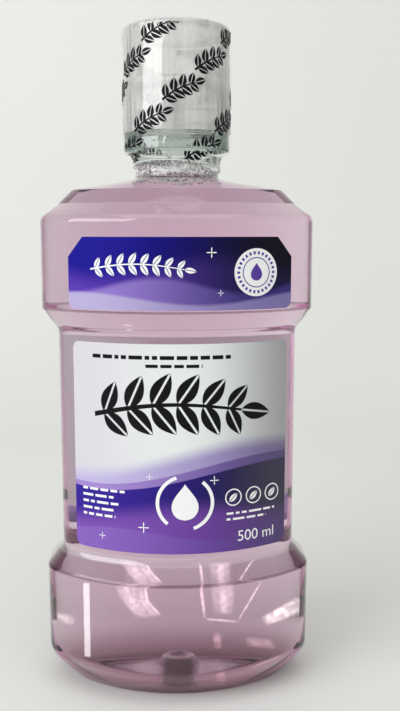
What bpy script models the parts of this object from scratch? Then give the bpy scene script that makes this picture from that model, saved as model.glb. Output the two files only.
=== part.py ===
"""A clear oblong bottle of mouthwash with a screw cap that is also its dosing cup.

Run it in Blender 4.5: blender --background --python part.py. Metres, +Z up. The bottle stands on z = 0, its neck is on
the Z axis and its front label faces -Y. The cap has a right-hand thread and turns about Z.
"""

import math

import bmesh
import bpy

# Body of the bottle, at its widest
BODY_WIDTH = 0.087
BODY_DEPTH = 0.057
SIDE_WIDTH = 0.020
CORNER_CUT = 0.0052
WALL = 0.0007

# Foot, from the table up. An inset is measured in from the widest outline, all round
STANDING_INSET = 0.0092
STANDING_WIDTH = 0.0028
FOOT_TAPER_INSET = 0.0047
FOOT_TAPER_HEIGHT = 0.0049
FOOT_CURVE_INSET = 0.0009
FOOT_CURVE_HEIGHT = 0.0050
FOOT_EDGE_HEIGHT = 0.0022
PUSH_UP_HEIGHT = 0.0040
PUSH_UP_RADIUS = 0.0059
PUSH_UP_STEP = 0.0007

# Two bulges and the waist between them
LOWER_BULGE_HEIGHT = 0.0284
WAIST_INSET = 0.0049
WAIST_CHAMFER_HEIGHT = 0.0059
WAIST_HEIGHT = 0.0726
UPPER_CHAMFER_HEIGHT = 0.0068
UPPER_BULGE_HEIGHT = 0.0272

# Shoulder
SHOULDER_EDGE_INSET = 0.0007
SHOULDER_EDGE_HEIGHT = 0.0019
SHOULDER_BAND_INSET = 0.0054
SHOULDER_BAND_HEIGHT = 0.0036
SHOULDER_TOP_INSET = 0.0100
SHOULDER_TOP_HEIGHT = 0.0047
SHOULDER_DOME_HEIGHT = 0.0032

# Neck and its finish
NECK_RADIUS = 0.0136
NECK_FILLET = 0.0009
NECK_HEIGHT = 0.0070
BEAD_RADIUS = 0.0143
BEAD_HEIGHT = 0.0012
FINISH_RADIUS = 0.0126
FINISH_HEIGHT = 0.0190
BORE_RADIUS = 0.0109
LIP_ROUND = 0.0005

# Thread, the same pitch in the neck and in the cap
PITCH = 0.0042
THREAD_RADIUS = 0.01375
THREAD_START = 0.0061
THREAD_TURNS = 1.75
RIDGE_ROOT = 0.0019
RIDGE_TIP = 0.0010
THREAD_PLAY = 0.00035
CAP_THREAD_START_TURN = 0.5
CAP_THREAD_TURNS = 1.4
RUN_OUT_TURNS = 0.08

# Cap: a threaded insert with a sealing ledge, and a clear cup over it
CAP_CLEARANCE = 0.0003
BEAD_CLEARANCE = 0.0006
INSERT_WALL = 0.0012
FLANGE_RADIUS = 0.0167
FLANGE_HEIGHT = 0.0050
LEDGE_HOLE_RADIUS = 0.0106
LEDGE_THICKNESS = 0.0015
SEAL_THICKNESS = 0.0012
CUP_WALL = 0.0011
CUP_TOP = 0.0014
CUP_RISE = 0.0160
CUP_DRAFT = 0.0004
CUP_ROUND = 0.0012

# Liquid
LIQUID_GAP = 0.0003
LIQUID_ABOVE_NECK_FOOT = 0.0010

# Labels, thin skins stuck to the front and the back
LABEL_GAP = 0.00015
LABEL_THICKNESS = 0.0002
LABEL_SHIFT = 0.0012
WAIST_LABEL_WIDTH = 0.0722
WAIST_LABEL_MARGIN = 0.0030
WAIST_LABEL_CORNER = 0.0016
SHOULDER_LABEL_WIDTH = 0.0722
SHOULDER_LABEL_LIFT = 0.0008
SHOULDER_LABEL_HEIGHT = 0.0218
SHOULDER_LABEL_CORNER = 0.0016
SHOULDER_LABEL_CHAMFER_WIDTH = 0.0054
SHOULDER_LABEL_CHAMFER_HEIGHT = 0.0060

# Shrink sleeve, torn in two at the perforation below the cap
SLEEVE_GAP = 0.00015
SLEEVE_THICKNESS = 0.00015
SLEEVE_LIP = 0.0034
PERFORATION = 0.0003
SLEEVE_STEP_HEIGHT = 0.0011
SLEEVE_UNDERCUT_HEIGHT = 0.0009
SLEEVE_EDGE_LIFT = 0.0032
SLEEVE_EDGE_WAVE = 0.0021
SLEEVE_EDGE_TURN = -0.055

# Boolean pieces reach this far into each other
OVERRUN = 0.0004
# Points of a turned shape that are nearer than this are one point
MERGE_DISTANCE = 0.00001

# Steps in a full turn, in the arcs and in the roundings. A ring has RING_STEPS points
FACE_STEPS = 6
CORNER_STEPS = 4
RING_STEPS = 4 * (FACE_STEPS + CORNER_STEPS + 1)
LABEL_STEPS = 20
ROUND_STEPS = 3
SHARP_ANGLE = math.radians(35)

# The upper chamfer is rounded: shares of its inset left and of its height, from the waist up
CHAMFER_INSET_SHARES = (0.50, 0.20)
CHAMFER_HEIGHT_SHARES = (0.44, 0.78)
# A corner's rounding takes at most this share of the narrow side face
CORNER_SIDE_SHARE = 0.8
# How far the push-up has gone from the standing ring to its round centre, and how much of its height it has risen
PUSH_UP_BLEND_SHARES = (0.18, 0.55)
PUSH_UP_RISE_SHARES = (0.45, 0.85)
# How far the shoulder's dome has gone from its outline to the neck, and how much of its height it has risen
DOME_BLEND_SHARES = (0.4, 0.8)
DOME_RISE_SHARES = (0.35, 0.75)

FRONT = -1
BACK = 1

# Heights above the table that follow from the sizes above
BULGE_FOOT_Z = FOOT_TAPER_HEIGHT + FOOT_CURVE_HEIGHT + FOOT_EDGE_HEIGHT
LOWER_CREASE_Z = BULGE_FOOT_Z + LOWER_BULGE_HEIGHT
WAIST_FOOT_Z = LOWER_CREASE_Z + WAIST_CHAMFER_HEIGHT
WAIST_TOP_Z = WAIST_FOOT_Z + WAIST_HEIGHT
UPPER_CREASE_Z = WAIST_TOP_Z + UPPER_CHAMFER_HEIGHT
UPPER_TOP_Z = UPPER_CREASE_Z + UPPER_BULGE_HEIGHT
SHOULDER_EDGE_Z = UPPER_TOP_Z + SHOULDER_EDGE_HEIGHT
SHOULDER_BAND_Z = SHOULDER_EDGE_Z + SHOULDER_BAND_HEIGHT
SHOULDER_TOP_Z = SHOULDER_BAND_Z + SHOULDER_TOP_HEIGHT
NECK_FOOT_Z = SHOULDER_TOP_Z + SHOULDER_DOME_HEIGHT
BEAD_Z = NECK_FOOT_Z + NECK_HEIGHT
FINISH_Z = BEAD_Z + BEAD_HEIGHT
MOUTH_Z = FINISH_Z + FINISH_HEIGHT
THREAD_Z = FINISH_Z + THREAD_START

# The insert goes over the finish and holds the seal on the mouth
INSERT_BORE = THREAD_RADIUS + THREAD_PLAY
INSERT_RADIUS = INSERT_BORE + INSERT_WALL
CAP_THREAD_RADIUS = FINISH_RADIUS + THREAD_PLAY
SEAL_Z = MOUTH_Z + CAP_CLEARANCE
LEDGE_Z = SEAL_Z + SEAL_THICKNESS + CAP_CLEARANCE
INSERT_TOP_Z = LEDGE_Z + LEDGE_THICKNESS
INSERT_FOOT_Z = FINISH_Z + BEAD_CLEARANCE
FLANGE_TOP_Z = INSERT_FOOT_Z + FLANGE_HEIGHT
CUP_FOOT_Z = FLANGE_TOP_Z + CAP_CLEARANCE
CUP_INNER_RADIUS = INSERT_RADIUS + CAP_CLEARANCE + CUP_DRAFT
CUP_RADIUS = CUP_INNER_RADIUS + CUP_WALL
CUP_TOP_Z = INSERT_TOP_Z + CUP_RISE
PERFORATION_Z = INSERT_FOOT_Z - CAP_CLEARANCE / 2


def collection(name):
    made = bpy.data.collections.new(name)
    bpy.context.scene.collection.children.link(made)
    return made


def material(name, color, roughness, transmission=0.0, ior=1.5, alpha=1.0):
    made = bpy.data.materials.new(name)
    made.use_nodes = True
    shader = made.node_tree.nodes["Principled BSDF"]
    shader.inputs["Base Color"].default_value = (*color, 1.0)
    shader.inputs["Roughness"].default_value = roughness
    shader.inputs["Metallic"].default_value = 0.0
    shader.inputs["Transmission Weight"].default_value = transmission
    shader.inputs["IOR"].default_value = ior
    shader.inputs["Alpha"].default_value = alpha
    made.diffuse_color = (*color, alpha)
    return made


def smooth(obj):
    obj.data.shade_smooth()
    obj.data.set_sharp_from_angle(angle=SHARP_ANGLE)


def add(name, mesh, where, look):
    obj = bpy.data.objects.new(name, mesh)
    where.objects.link(obj)
    mesh.materials.append(look)
    smooth(obj)
    return obj


def mix(first, second, share):
    return first + (second - first) * share


def loft(name, rings, round_trip=False):
    """A closed mesh through rings of equally many points, capped at both ends or joined end to end."""
    bm = bmesh.new()
    loops = [[bm.verts.new(point) for point in ring] for ring in rings]
    pairs = list(zip(loops, loops[1:]))
    if round_trip:
        pairs.append((loops[-1], loops[0]))
    else:
        bm.faces.new(list(reversed(loops[0])))
        bm.faces.new(loops[-1])
    for low, high in pairs:
        for i in range(len(low)):
            j = (i + 1) % len(low)
            bm.faces.new((low[i], low[j], high[j], high[i]))
    bmesh.ops.recalc_face_normals(bm, faces=bm.faces)
    mesh = bpy.data.meshes.new(name)
    bm.to_mesh(mesh)
    bm.free()
    return mesh


def turned(name, profile, closed, where, look):
    """A profile of (radius, height) turned about Z, its outer side first and from the top down."""
    mesh = bpy.data.meshes.new(name)
    edges = [(i, i + 1) for i in range(len(profile) - 1)]
    if closed:
        edges.append((len(profile) - 1, 0))
    mesh.from_pydata([(radius, 0.0, z) for radius, z in profile], edges, [])
    obj = add(name, mesh, where, look)
    screw = obj.modifiers.new("turn", "SCREW")
    screw.axis = "Z"
    screw.angle = math.tau
    screw.steps = RING_STEPS
    screw.render_steps = RING_STEPS
    screw.use_merge_vertices = True
    screw.merge_threshold = MERGE_DISTANCE
    screw.use_smooth_shade = True
    return obj


def union(obj, other):
    """Joins a helper to an object for good, so that both stay one body."""
    join = obj.modifiers.new("join_" + other.name, "BOOLEAN")
    join.operation = "UNION"
    join.solver = "EXACT"
    join.object = other
    other.hide_render = True
    other.display_type = "WIRE"


def face_radius():
    """The plan radius of the bowed front and back, which leaves SIDE_WIDTH of flat side at the widest outline."""
    bow = (BODY_DEPTH - SIDE_WIDTH) / 2
    half = BODY_WIDTH / 2
    return (half**2 + bow**2) / (2 * bow)


def face_point(turn, inset, z, side):
    """A point of the bowed face: turn is its angle about the face's own centre of curvature."""
    radius = face_radius()
    centre = BODY_DEPTH / 2 - radius
    reach = radius - inset
    return (reach * math.sin(turn), side * (centre + reach * math.cos(turn)), z)


def quarter(inset, z):
    """The outline from the middle of the front round to the middle of the +X side."""
    reach = face_radius() - inset
    half = BODY_WIDTH / 2 - inset
    last = math.asin(half / reach)
    corner_y = -face_point(last, inset, z, FRONT)[1]
    side_cut = min(CORNER_CUT, corner_y * CORNER_SIDE_SHARE)
    start = last - CORNER_CUT / reach
    points = [face_point(start * k / FACE_STEPS, inset, z, FRONT) for k in range(FACE_STEPS + 1)]
    ax, ay, _ = points[-1]
    for k in range(1, CORNER_STEPS + 1):
        t = k / CORNER_STEPS
        x = mix(mix(ax, half, t), half, t)
        y = mix(mix(ay, -corner_y, t), mix(-corner_y, side_cut - corner_y, t), t)
        points.append((x, y, z))
    points.append((half, 0.0, z))
    return points


def outline(inset, z):
    """The whole outline, counter-clockwise from above, starting at the middle of the front."""
    right = quarter(inset, z)
    back = [(x, -y, z) for x, y, _ in reversed(right[:-1])]
    half = right + back
    return half + [(-x, y, z) for x, y, _ in reversed(half[1:-1])]


def circle(radius, z):
    """A ring whose points pair with an outline's, starting at the front."""
    turns = [math.tau * i / RING_STEPS for i in range(RING_STEPS)]
    return [(radius * math.sin(turn), -radius * math.cos(turn), z) for turn in turns]


def blend(ring, other, share, z):
    return [(mix(a[0], b[0], share), mix(a[1], b[1], share), z) for a, b in zip(ring, other)]


def body_profile():
    """(inset, height) up the outside of the body, from the inner edge of the standing ring to the top of the shoulder."""
    points = [
        (STANDING_INSET + STANDING_WIDTH, 0.0),
        (STANDING_INSET, 0.0),
        (FOOT_TAPER_INSET, FOOT_TAPER_HEIGHT),
        (FOOT_CURVE_INSET, FOOT_TAPER_HEIGHT + FOOT_CURVE_HEIGHT),
        (0.0, BULGE_FOOT_Z),
        (0.0, LOWER_CREASE_Z),
        (WAIST_INSET, WAIST_FOOT_Z),
        (WAIST_INSET, WAIST_TOP_Z),
    ]
    for inset_share, height_share in zip(CHAMFER_INSET_SHARES, CHAMFER_HEIGHT_SHARES):
        points.append((WAIST_INSET * inset_share, WAIST_TOP_Z + UPPER_CHAMFER_HEIGHT * height_share))
    return points + [
        (0.0, UPPER_CREASE_Z),
        (0.0, UPPER_TOP_Z),
        (SHOULDER_EDGE_INSET, SHOULDER_EDGE_Z),
        (SHOULDER_BAND_INSET, SHOULDER_BAND_Z),
        (SHOULDER_TOP_INSET, SHOULDER_TOP_Z),
    ]


def thinned(profile, distance):
    """The profile moved inwards by the distance, with mitred corners."""
    normals = []
    for (inset, z), (next_inset, next_z) in zip(profile, profile[1:]):
        length = math.hypot(next_inset - inset, next_z - z)
        normals.append(((next_z - z) / length, (inset - next_inset) / length))
    moved = []
    for i, (inset, z) in enumerate(profile):
        before = normals[max(i - 1, 0)]
        after = normals[min(i, len(normals) - 1)]
        scale = distance / (1 + before[0] * after[0] + before[1] * after[1])
        moved.append((inset + scale * (before[0] + after[0]), z + scale * (before[1] + after[1])))
    return moved


def base_rings(edge, lift):
    """The push-up, from its round centre out to the ring at the inner edge of the foot."""
    top = PUSH_UP_HEIGHT + lift
    centre = circle(PUSH_UP_RADIUS, top)
    rings = [circle(PUSH_UP_RADIUS - PUSH_UP_STEP, top + PUSH_UP_STEP), centre]
    for blend_share, rise_share in reversed(list(zip(PUSH_UP_BLEND_SHARES, PUSH_UP_RISE_SHARES))):
        rings.append(blend(edge, centre, blend_share, mix(lift, top, rise_share)))
    return rings


def dome_rings(edge, radius, foot_z, top_z):
    """The shoulder's dome, from its outline in to a circle at the foot of the neck."""
    neck = circle(radius, top_z)
    rings = []
    for blend_share, rise_share in zip(DOME_BLEND_SHARES, DOME_RISE_SHARES):
        rings.append(blend(edge, neck, blend_share, mix(foot_z, top_z, rise_share)))
    return rings + [neck]


def hull_rings(distance):
    """The body as rings, moved inwards by the distance, without its neck."""
    profile = thinned(body_profile(), distance)
    rings = [outline(inset, z) for inset, z in profile]
    return base_rings(rings[0], distance) + rings


def ridge(name, root, tip, height_at_zero, start_turn, turns, where, look):
    """A thread's ridge, run out at both ends. Its root reaches past the wall that carries it."""
    steps = round(turns * RING_STEPS)
    inside = root + math.copysign(OVERRUN, root - tip)
    rings = []
    for i in range(steps + 1):
        turn = start_turn + turns * i / steps
        rise = min(1.0, i / steps * turns / RUN_OUT_TURNS, (1 - i / steps) * turns / RUN_OUT_TURNS)
        reach = mix(mix(inside, root, 0.5), tip, rise)
        half_tip = mix(RIDGE_ROOT, RIDGE_TIP, rise) / 2
        z = height_at_zero + PITCH * turn
        angle = math.tau * turn
        profile = [
            (inside, z - RIDGE_ROOT / 2),
            (reach, z - half_tip),
            (reach, z + half_tip),
            (inside, z + RIDGE_ROOT / 2),
        ]
        rings.append([(radius * math.cos(angle), radius * math.sin(angle), h) for radius, h in profile])
    return add(name, loft(name, rings), where, look)


def bottle(where, helpers, look):
    """The blown bottle: body, neck, finish with its thread, and the open bore down to the inside of the base."""
    outside = hull_rings(0.0)
    outside += dome_rings(outside[-1], NECK_RADIUS + NECK_FILLET, SHOULDER_TOP_Z, NECK_FOOT_Z)
    for radius, z in [
        (NECK_RADIUS, NECK_FOOT_Z + NECK_FILLET),
        (NECK_RADIUS, BEAD_Z - BEAD_HEIGHT / 2),
        (BEAD_RADIUS, BEAD_Z),
        (BEAD_RADIUS, FINISH_Z),
        (FINISH_RADIUS, FINISH_Z + BEAD_HEIGHT / 2),
        (FINISH_RADIUS, MOUTH_Z - LIP_ROUND),
        (FINISH_RADIUS - LIP_ROUND, MOUTH_Z),
        (BORE_RADIUS + LIP_ROUND, MOUTH_Z),
        (BORE_RADIUS, MOUTH_Z - LIP_ROUND),
        (BORE_RADIUS, NECK_FOOT_Z + NECK_FILLET),
    ]:
        outside.append(circle(radius, z))
    inside = hull_rings(WALL)
    inside += dome_rings(inside[-1], BORE_RADIUS + NECK_FILLET, SHOULDER_TOP_Z - WALL, NECK_FOOT_Z - WALL)
    obj = add("bottle", loft("bottle", outside + list(reversed(inside))), where, look)
    thread = ridge("neck_thread", FINISH_RADIUS, THREAD_RADIUS, THREAD_Z, 0.0, THREAD_TURNS, helpers, look)
    union(obj, thread)


def liquid(where, look):
    """The mouthwash, up to the foot of the neck."""
    gap = WALL + LIQUID_GAP
    rings = hull_rings(gap)
    radius = BORE_RADIUS - LIQUID_GAP
    rings += dome_rings(rings[-1], radius + NECK_FILLET, SHOULDER_TOP_Z - gap, NECK_FOOT_Z - gap)
    rings.append(circle(radius, NECK_FOOT_Z + NECK_FILLET - gap))
    rings.append(circle(radius, NECK_FOOT_Z + LIQUID_ABOVE_NECK_FOOT))
    add("mouthwash", loft("mouthwash", rings), where, look)


def label(name, side, inset, shift, width, foot, top, corner, chamfer, where, look):
    """A thin skin on a bowed face, with rounded corners at its foot and rounded or chamfered corners at its top."""
    reach = face_radius() - inset
    chamfer_width, chamfer_height = chamfer
    cuts = {0.0, width}
    cuts |= {width * i / LABEL_STEPS for i in range(1, LABEL_STEPS)}
    for i in range(ROUND_STEPS + 1):
        step = corner * (1 - math.cos(math.pi / 2 * i / ROUND_STEPS))
        cuts |= {step, width - step}
    cuts |= {chamfer_width, width - chamfer_width}

    def rounding(x):
        return corner - math.sqrt(max(0.0, corner**2 - (corner - min(x, corner)) ** 2))

    rings = []
    for x in sorted(cuts):
        from_end = min(x, width - x)
        low = foot + rounding(from_end)
        high = top - rounding(from_end)
        if chamfer_height > 0.0:
            high = top - chamfer_height * max(0.0, 1 - from_end / chamfer_width)
        turn = (shift + x - width / 2) / reach
        near = inset - LABEL_GAP
        far = near - LABEL_THICKNESS
        rings.append(
            [
                face_point(turn, far, low, side),
                face_point(turn, far, high, side),
                face_point(turn, near, high, side),
                face_point(turn, near, low, side),
            ]
        )
    add(name, loft(name, rings), where, look)


def labels(where, dark, pale, back):
    waist_foot = WAIST_FOOT_Z + WAIST_LABEL_MARGIN
    waist_top = WAIST_TOP_Z - WAIST_LABEL_MARGIN
    waist = (WAIST_LABEL_WIDTH, waist_foot, waist_top, WAIST_LABEL_CORNER, (WAIST_LABEL_CORNER, 0.0))
    label("front_label", FRONT, WAIST_INSET, LABEL_SHIFT, *waist, where, pale)
    label("back_label", BACK, WAIST_INSET, 0.0, *waist, where, back)
    foot = UPPER_CREASE_Z + SHOULDER_LABEL_LIFT
    chamfer = (SHOULDER_LABEL_CHAMFER_WIDTH, SHOULDER_LABEL_CHAMFER_HEIGHT)
    shoulder = (SHOULDER_LABEL_WIDTH, foot, foot + SHOULDER_LABEL_HEIGHT, SHOULDER_LABEL_CORNER, chamfer)
    label("shoulder_label", FRONT, 0.0, LABEL_SHIFT, *shoulder, where, dark)


def cap_insert(where, helpers, look):
    """The threaded ring with its foot flange and the ledge that presses the seal on the mouth."""
    profile = [
        (LEDGE_HOLE_RADIUS, INSERT_TOP_Z),
        (INSERT_RADIUS, INSERT_TOP_Z),
        (INSERT_RADIUS, FLANGE_TOP_Z),
        (FLANGE_RADIUS, FLANGE_TOP_Z),
        (FLANGE_RADIUS, INSERT_FOOT_Z),
        (INSERT_BORE, INSERT_FOOT_Z),
        (INSERT_BORE, LEDGE_Z),
        (LEDGE_HOLE_RADIUS, LEDGE_Z),
    ]
    obj = turned("cap_insert", profile, True, where, look)
    low = THREAD_Z - PITCH / 2
    thread = ridge(
        "cap_thread", INSERT_BORE, CAP_THREAD_RADIUS, low, CAP_THREAD_START_TURN, CAP_THREAD_TURNS, helpers, look
    )
    union(obj, thread)
    return obj


def cap_cup(where, look):
    """The clear cup: closed at the top and open at the foot, where the insert is pressed in."""
    outer_top = CUP_RADIUS - CUP_DRAFT
    inner_top = CUP_INNER_RADIUS - CUP_DRAFT
    under = CUP_TOP_Z - CUP_TOP
    profile = [(0.0, CUP_TOP_Z)]
    for i in range(ROUND_STEPS + 1):
        turn = math.pi / 2 * i / ROUND_STEPS
        middle = outer_top - CUP_ROUND
        profile.append((middle + CUP_ROUND * math.sin(turn), CUP_TOP_Z - CUP_ROUND * (1 - math.cos(turn))))
    profile += [
        (CUP_RADIUS, CUP_FOOT_Z),
        (CUP_INNER_RADIUS, CUP_FOOT_Z),
        (inner_top, under - CUP_ROUND / 2),
        (inner_top - CUP_ROUND / 2, under),
        (0.0, under),
    ]
    return turned("cap_cup", profile, False, where, look)


def cap_seal(where, look):
    """The soft washer between the mouth and the insert's ledge."""
    profile = [
        (BORE_RADIUS, SEAL_Z + SEAL_THICKNESS),
        (INSERT_BORE - CAP_CLEARANCE, SEAL_Z + SEAL_THICKNESS),
        (INSERT_BORE - CAP_CLEARANCE, SEAL_Z),
        (BORE_RADIUS, SEAL_Z),
    ]
    return turned("cap_seal", profile, True, where, look)


def sleeve_side(gap):
    """(radius, height) down the cap at this distance from it, from the lip on top to the perforation."""
    outer_top = CUP_RADIUS - CUP_DRAFT
    reach = CUP_ROUND + gap
    middle = outer_top - CUP_ROUND
    points = [(middle - SLEEVE_LIP, CUP_TOP_Z + gap)]
    for i in range(ROUND_STEPS + 1):
        turn = math.pi / 2 * i / ROUND_STEPS
        points.append((middle + reach * math.sin(turn), CUP_TOP_Z - CUP_ROUND + reach * math.cos(turn)))
    return points + [
        (CUP_RADIUS + gap, CUP_FOOT_Z),
        (FLANGE_RADIUS + gap, FLANGE_TOP_Z - SLEEVE_STEP_HEIGHT),
        (FLANGE_RADIUS + gap, PERFORATION_Z + PERFORATION),
    ]


def sleeve_cap(where, look):
    """The part of the shrink sleeve that turns with the cap."""
    near = sleeve_side(SLEEVE_GAP)
    far = sleeve_side(SLEEVE_GAP + SLEEVE_THICKNESS)
    return turned("sleeve_cap", far + list(reversed(near)), True, where, look)


def sleeve_neck(where, look):
    """The part of the sleeve that stays on the neck. Its lower edge was cut askew and shrank into a wave."""

    def ring(radius, z, wave):
        points = circle(radius, z)
        turned_by = math.tau * SLEEVE_EDGE_TURN
        heights = [wave * math.cos(math.tau * i / RING_STEPS - turned_by) for i in range(RING_STEPS)]
        return [(x, y, h + rise) for (x, y, h), rise in zip(points, heights)]

    def side(gap):
        top = PERFORATION_Z - PERFORATION
        foot = NECK_FOOT_Z + SLEEVE_EDGE_LIFT
        return [
            ring(FLANGE_RADIUS + gap, top, 0.0),
            ring(BEAD_RADIUS + gap, top - SLEEVE_UNDERCUT_HEIGHT, 0.0),
            ring(BEAD_RADIUS + gap, BEAD_Z, 0.0),
            ring(NECK_RADIUS + gap, BEAD_Z - BEAD_HEIGHT, 0.0),
            ring(NECK_RADIUS + gap, foot, SLEEVE_EDGE_WAVE),
        ]

    near = side(SLEEVE_GAP)
    far = side(SLEEVE_GAP + SLEEVE_THICKNESS)
    add("sleeve_neck", loft("sleeve_neck", far + list(reversed(near)), round_trip=True), where, look)


def main():
    for obj in list(bpy.data.objects):
        bpy.data.objects.remove(obj, do_unlink=True)
    parts = collection("mouthwash_bottle")
    helpers = collection("cutters")
    helpers.hide_render = True

    clear = material("clear_pet", (0.93, 0.94, 0.94), 0.03, transmission=1.0, ior=1.57, alpha=0.35)
    cup = material("clear_cup", (0.90, 0.92, 0.91), 0.04, transmission=1.0, alpha=0.4)
    pink = material("mauve_liquid", (0.55, 0.33, 0.43), 0.02, transmission=1.0, ior=1.34, alpha=0.75)
    dark = material("dark_label_film", (0.03, 0.02, 0.22), 0.35)
    pale = material("pale_label_film", (0.70, 0.66, 0.76), 0.35)
    grey = material("label_back_film", (0.45, 0.44, 0.50), 0.40)
    tinted = material("tinted_insert", (0.52, 0.60, 0.58), 0.15, transmission=0.8, alpha=0.7)
    soft = material("seal_foam", (0.80, 0.80, 0.78), 0.60)
    film = material("shrink_film", (0.80, 0.82, 0.80), 0.12, transmission=0.8, alpha=0.5)
    neck_film = material("neck_film", (0.80, 0.82, 0.80), 0.12, transmission=0.8, alpha=0.5)

    bottle(parts, helpers, clear)
    liquid(parts, pink)
    labels(parts, dark, pale, grey)
    sleeve_neck(parts, neck_film)

    lift = bpy.data.objects.new("cap_axis", None)
    lift.location = (0.0, 0.0, INSERT_FOOT_Z)
    parts.objects.link(lift)
    moving = [
        cap_insert(parts, helpers, tinted),
        cap_cup(parts, cup),
        sleeve_cap(parts, film),
        cap_seal(parts, soft),
    ]
    helper = bpy.data.objects["cap_thread"]
    bpy.context.view_layer.update()
    for obj in [*moving, helper]:
        obj.parent = lift
        obj.matrix_parent_inverse = lift.matrix_world.inverted()


main()
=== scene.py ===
"""Looks for the mouthwash bottle: clear and oblong, with mauve mouthwash, a cap, labels and a shrink sleeve.

Metres, +Z up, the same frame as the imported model. The front labels face -Y and the neck is on the Z axis.
"""

import math

import bmesh
import bpy
import numpy as np
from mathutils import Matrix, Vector


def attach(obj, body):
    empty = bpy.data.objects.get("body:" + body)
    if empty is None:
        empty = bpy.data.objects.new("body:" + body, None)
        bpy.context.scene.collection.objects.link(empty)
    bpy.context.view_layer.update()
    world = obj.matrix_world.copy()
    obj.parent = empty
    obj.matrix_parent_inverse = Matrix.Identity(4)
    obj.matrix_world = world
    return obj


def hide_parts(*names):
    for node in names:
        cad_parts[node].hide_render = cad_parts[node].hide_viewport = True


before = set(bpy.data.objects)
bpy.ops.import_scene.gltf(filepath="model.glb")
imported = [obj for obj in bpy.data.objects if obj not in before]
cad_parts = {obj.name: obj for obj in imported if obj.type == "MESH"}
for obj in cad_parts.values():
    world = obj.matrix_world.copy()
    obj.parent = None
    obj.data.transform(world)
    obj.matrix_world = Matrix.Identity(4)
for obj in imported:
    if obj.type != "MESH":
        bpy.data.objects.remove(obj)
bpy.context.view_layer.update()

MM = 0.001

# Body of the bottle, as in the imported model
BODY_WIDTH = 0.087
BODY_DEPTH = 0.057
SIDE_WIDTH = 0.020
CORNER_CUT = 0.0052
CORNER_SIDE_SHARE = 0.8
STANDING_INNER = 0.0120
PUSH_UP_HALF_WIDTH = BODY_WIDTH / 2 - STANDING_INNER
PUSH_UP_HALF_DEPTH = BODY_DEPTH / 2 - STANDING_INNER
PUSH_UP_HEIGHT = 0.0040
GATE_FOOT_RADIUS = 0.0061
NECK_RADIUS = 0.0136
NECK_FILLET = 0.0009
BEAD_RADIUS = 0.0143
BEAD_HEIGHT = 0.0012
FINISH_RADIUS = 0.0126
BORE_RADIUS = 0.0109
LIP_ROUND = 0.0005
THREAD_RADIUS = 0.01375
PITCH = 0.0042
THREAD_TURNS = 1.75
CAP_THREAD_TURNS = 1.4
THREAD_RIDGE = 0.0019
THREAD_TIP = 0.001
THREAD_ROOT_DEPTH = 0.0003
THREAD_STEPS = 96
RUN_OUT_TURNS = 0.08

# How far the creases' painted shade, the fillet's painted highlight and the frothy neck foot's reach
CREASE_REACH = 0.0004
FILLET_REACH = 0.0014
FROTH_REACH = 0.0166

# Heights above the table
BULGE_FOOT_Z = 0.0121
BULGE_TOP_Z = 0.0405
# Below this height the wall's tint darkens, for thicker plastic and as painted shade under the bottle
THICK_AND_SHADED_FOOT_Z = 0.0140
WAIST_FOOT_Z = 0.0464
WAIST_TOP_Z = 0.1190
UPPER_CREASE_Z = 0.1258
SHOULDER_TOP_Z = 0.1632
NECK_FOOT_Z = 0.1664
BEAD_Z = 0.1734
FINISH_Z = BEAD_Z + BEAD_HEIGHT
MOUTH_Z = 0.1936
THREAD_Z = FINISH_Z + 0.0061
INSERT_FOOT_Z = 0.1752
FLANGE_TOP_Z = 0.1802
LEDGE_Z = 0.1954
INSERT_TOP_Z = 0.1969
CUP_FOOT_Z = 0.1805
CUP_TOP_Z = 0.2129
PERFORATION_Z = 0.17505

# Cap
INSERT_BORE = 0.0141
INSERT_RADIUS = 0.0153
FLANGE_RADIUS = 0.0167
LEDGE_HOLE_RADIUS = 0.0106
CAP_THREAD_RADIUS = 0.01295
CUP_RADIUS = 0.0171
CUP_INNER_RADIUS = 0.0160
CUP_DRAFT = 0.0004
CUP_ROUND = 0.0012
CUP_TOP_THICKNESS = 0.0014
CUP_TOP_RADIUS = CUP_RADIUS - CUP_DRAFT
CUP_TOP_INNER_RADIUS = CUP_INNER_RADIUS - CUP_DRAFT
CUP_FLAT_RADIUS = CUP_TOP_RADIUS - CUP_ROUND
CUP_SIDE_TOP_Z = CUP_TOP_Z - CUP_ROUND
CUP_CEILING_Z = CUP_TOP_Z - CUP_TOP_THICKNESS
CUP_FLUTES = 44
CUP_FLUTE_DEPTH = 0.00007
FLANGE_RIBS = 48
FLANGE_RIB_DEPTH = 0.00012

# Labels
WAIST_INSET = 0.0049
LABEL_GAP = 0.00015
LABEL_THICKNESS = 0.0002
LABEL_SHIFT = 0.0012
LABEL_WIDTH = 0.0722
LABEL_CORNER = 0.0023
LABEL_STEPS = 96
LABEL_CORNER_STEPS = 6
WAIST_LABEL_FOOT_Z = 0.0494
WAIST_LABEL_TOP_Z = 0.1160
SHOULDER_LABEL_FOOT_Z = 0.1266
SHOULDER_LABEL_TOP_Z = 0.1484
CHAMFER_WIDTH = 0.0054
CHAMFER_HEIGHT = 0.0060

# Sleeve
FILM_GAP = 0.00015
FILM_THICKNESS = 0.00015
FILM_SKIN = FILM_GAP + FILM_THICKNESS
FILM_LIP = 0.0034
FILM_EDGE_SWING = 0.0021
FOLD_TOP_REACH = 0.006
FOLD_FOOT_REACH = 0.008
FOLD_DEPTH = 0.00004
FOLD_TOP_DEPTH = 0.00013
FOLD_FOOT_DEPTH = 0.00012
PLEAT_DEPTH = 0.00005
NECK_FOLD_DEPTH = 0.00013
NECK_FILM_TOP = PERFORATION_Z - 0.0003
NECK_FILM_FOOT = NECK_FOOT_Z + 0.0032

# How far print stands off its face
PRINT_LIFT = 0.00003
FILM_PRINT_LIFT = 0.00006

# How far leaves lean from their stem
LEAF_LEAN = math.radians(56)

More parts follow.
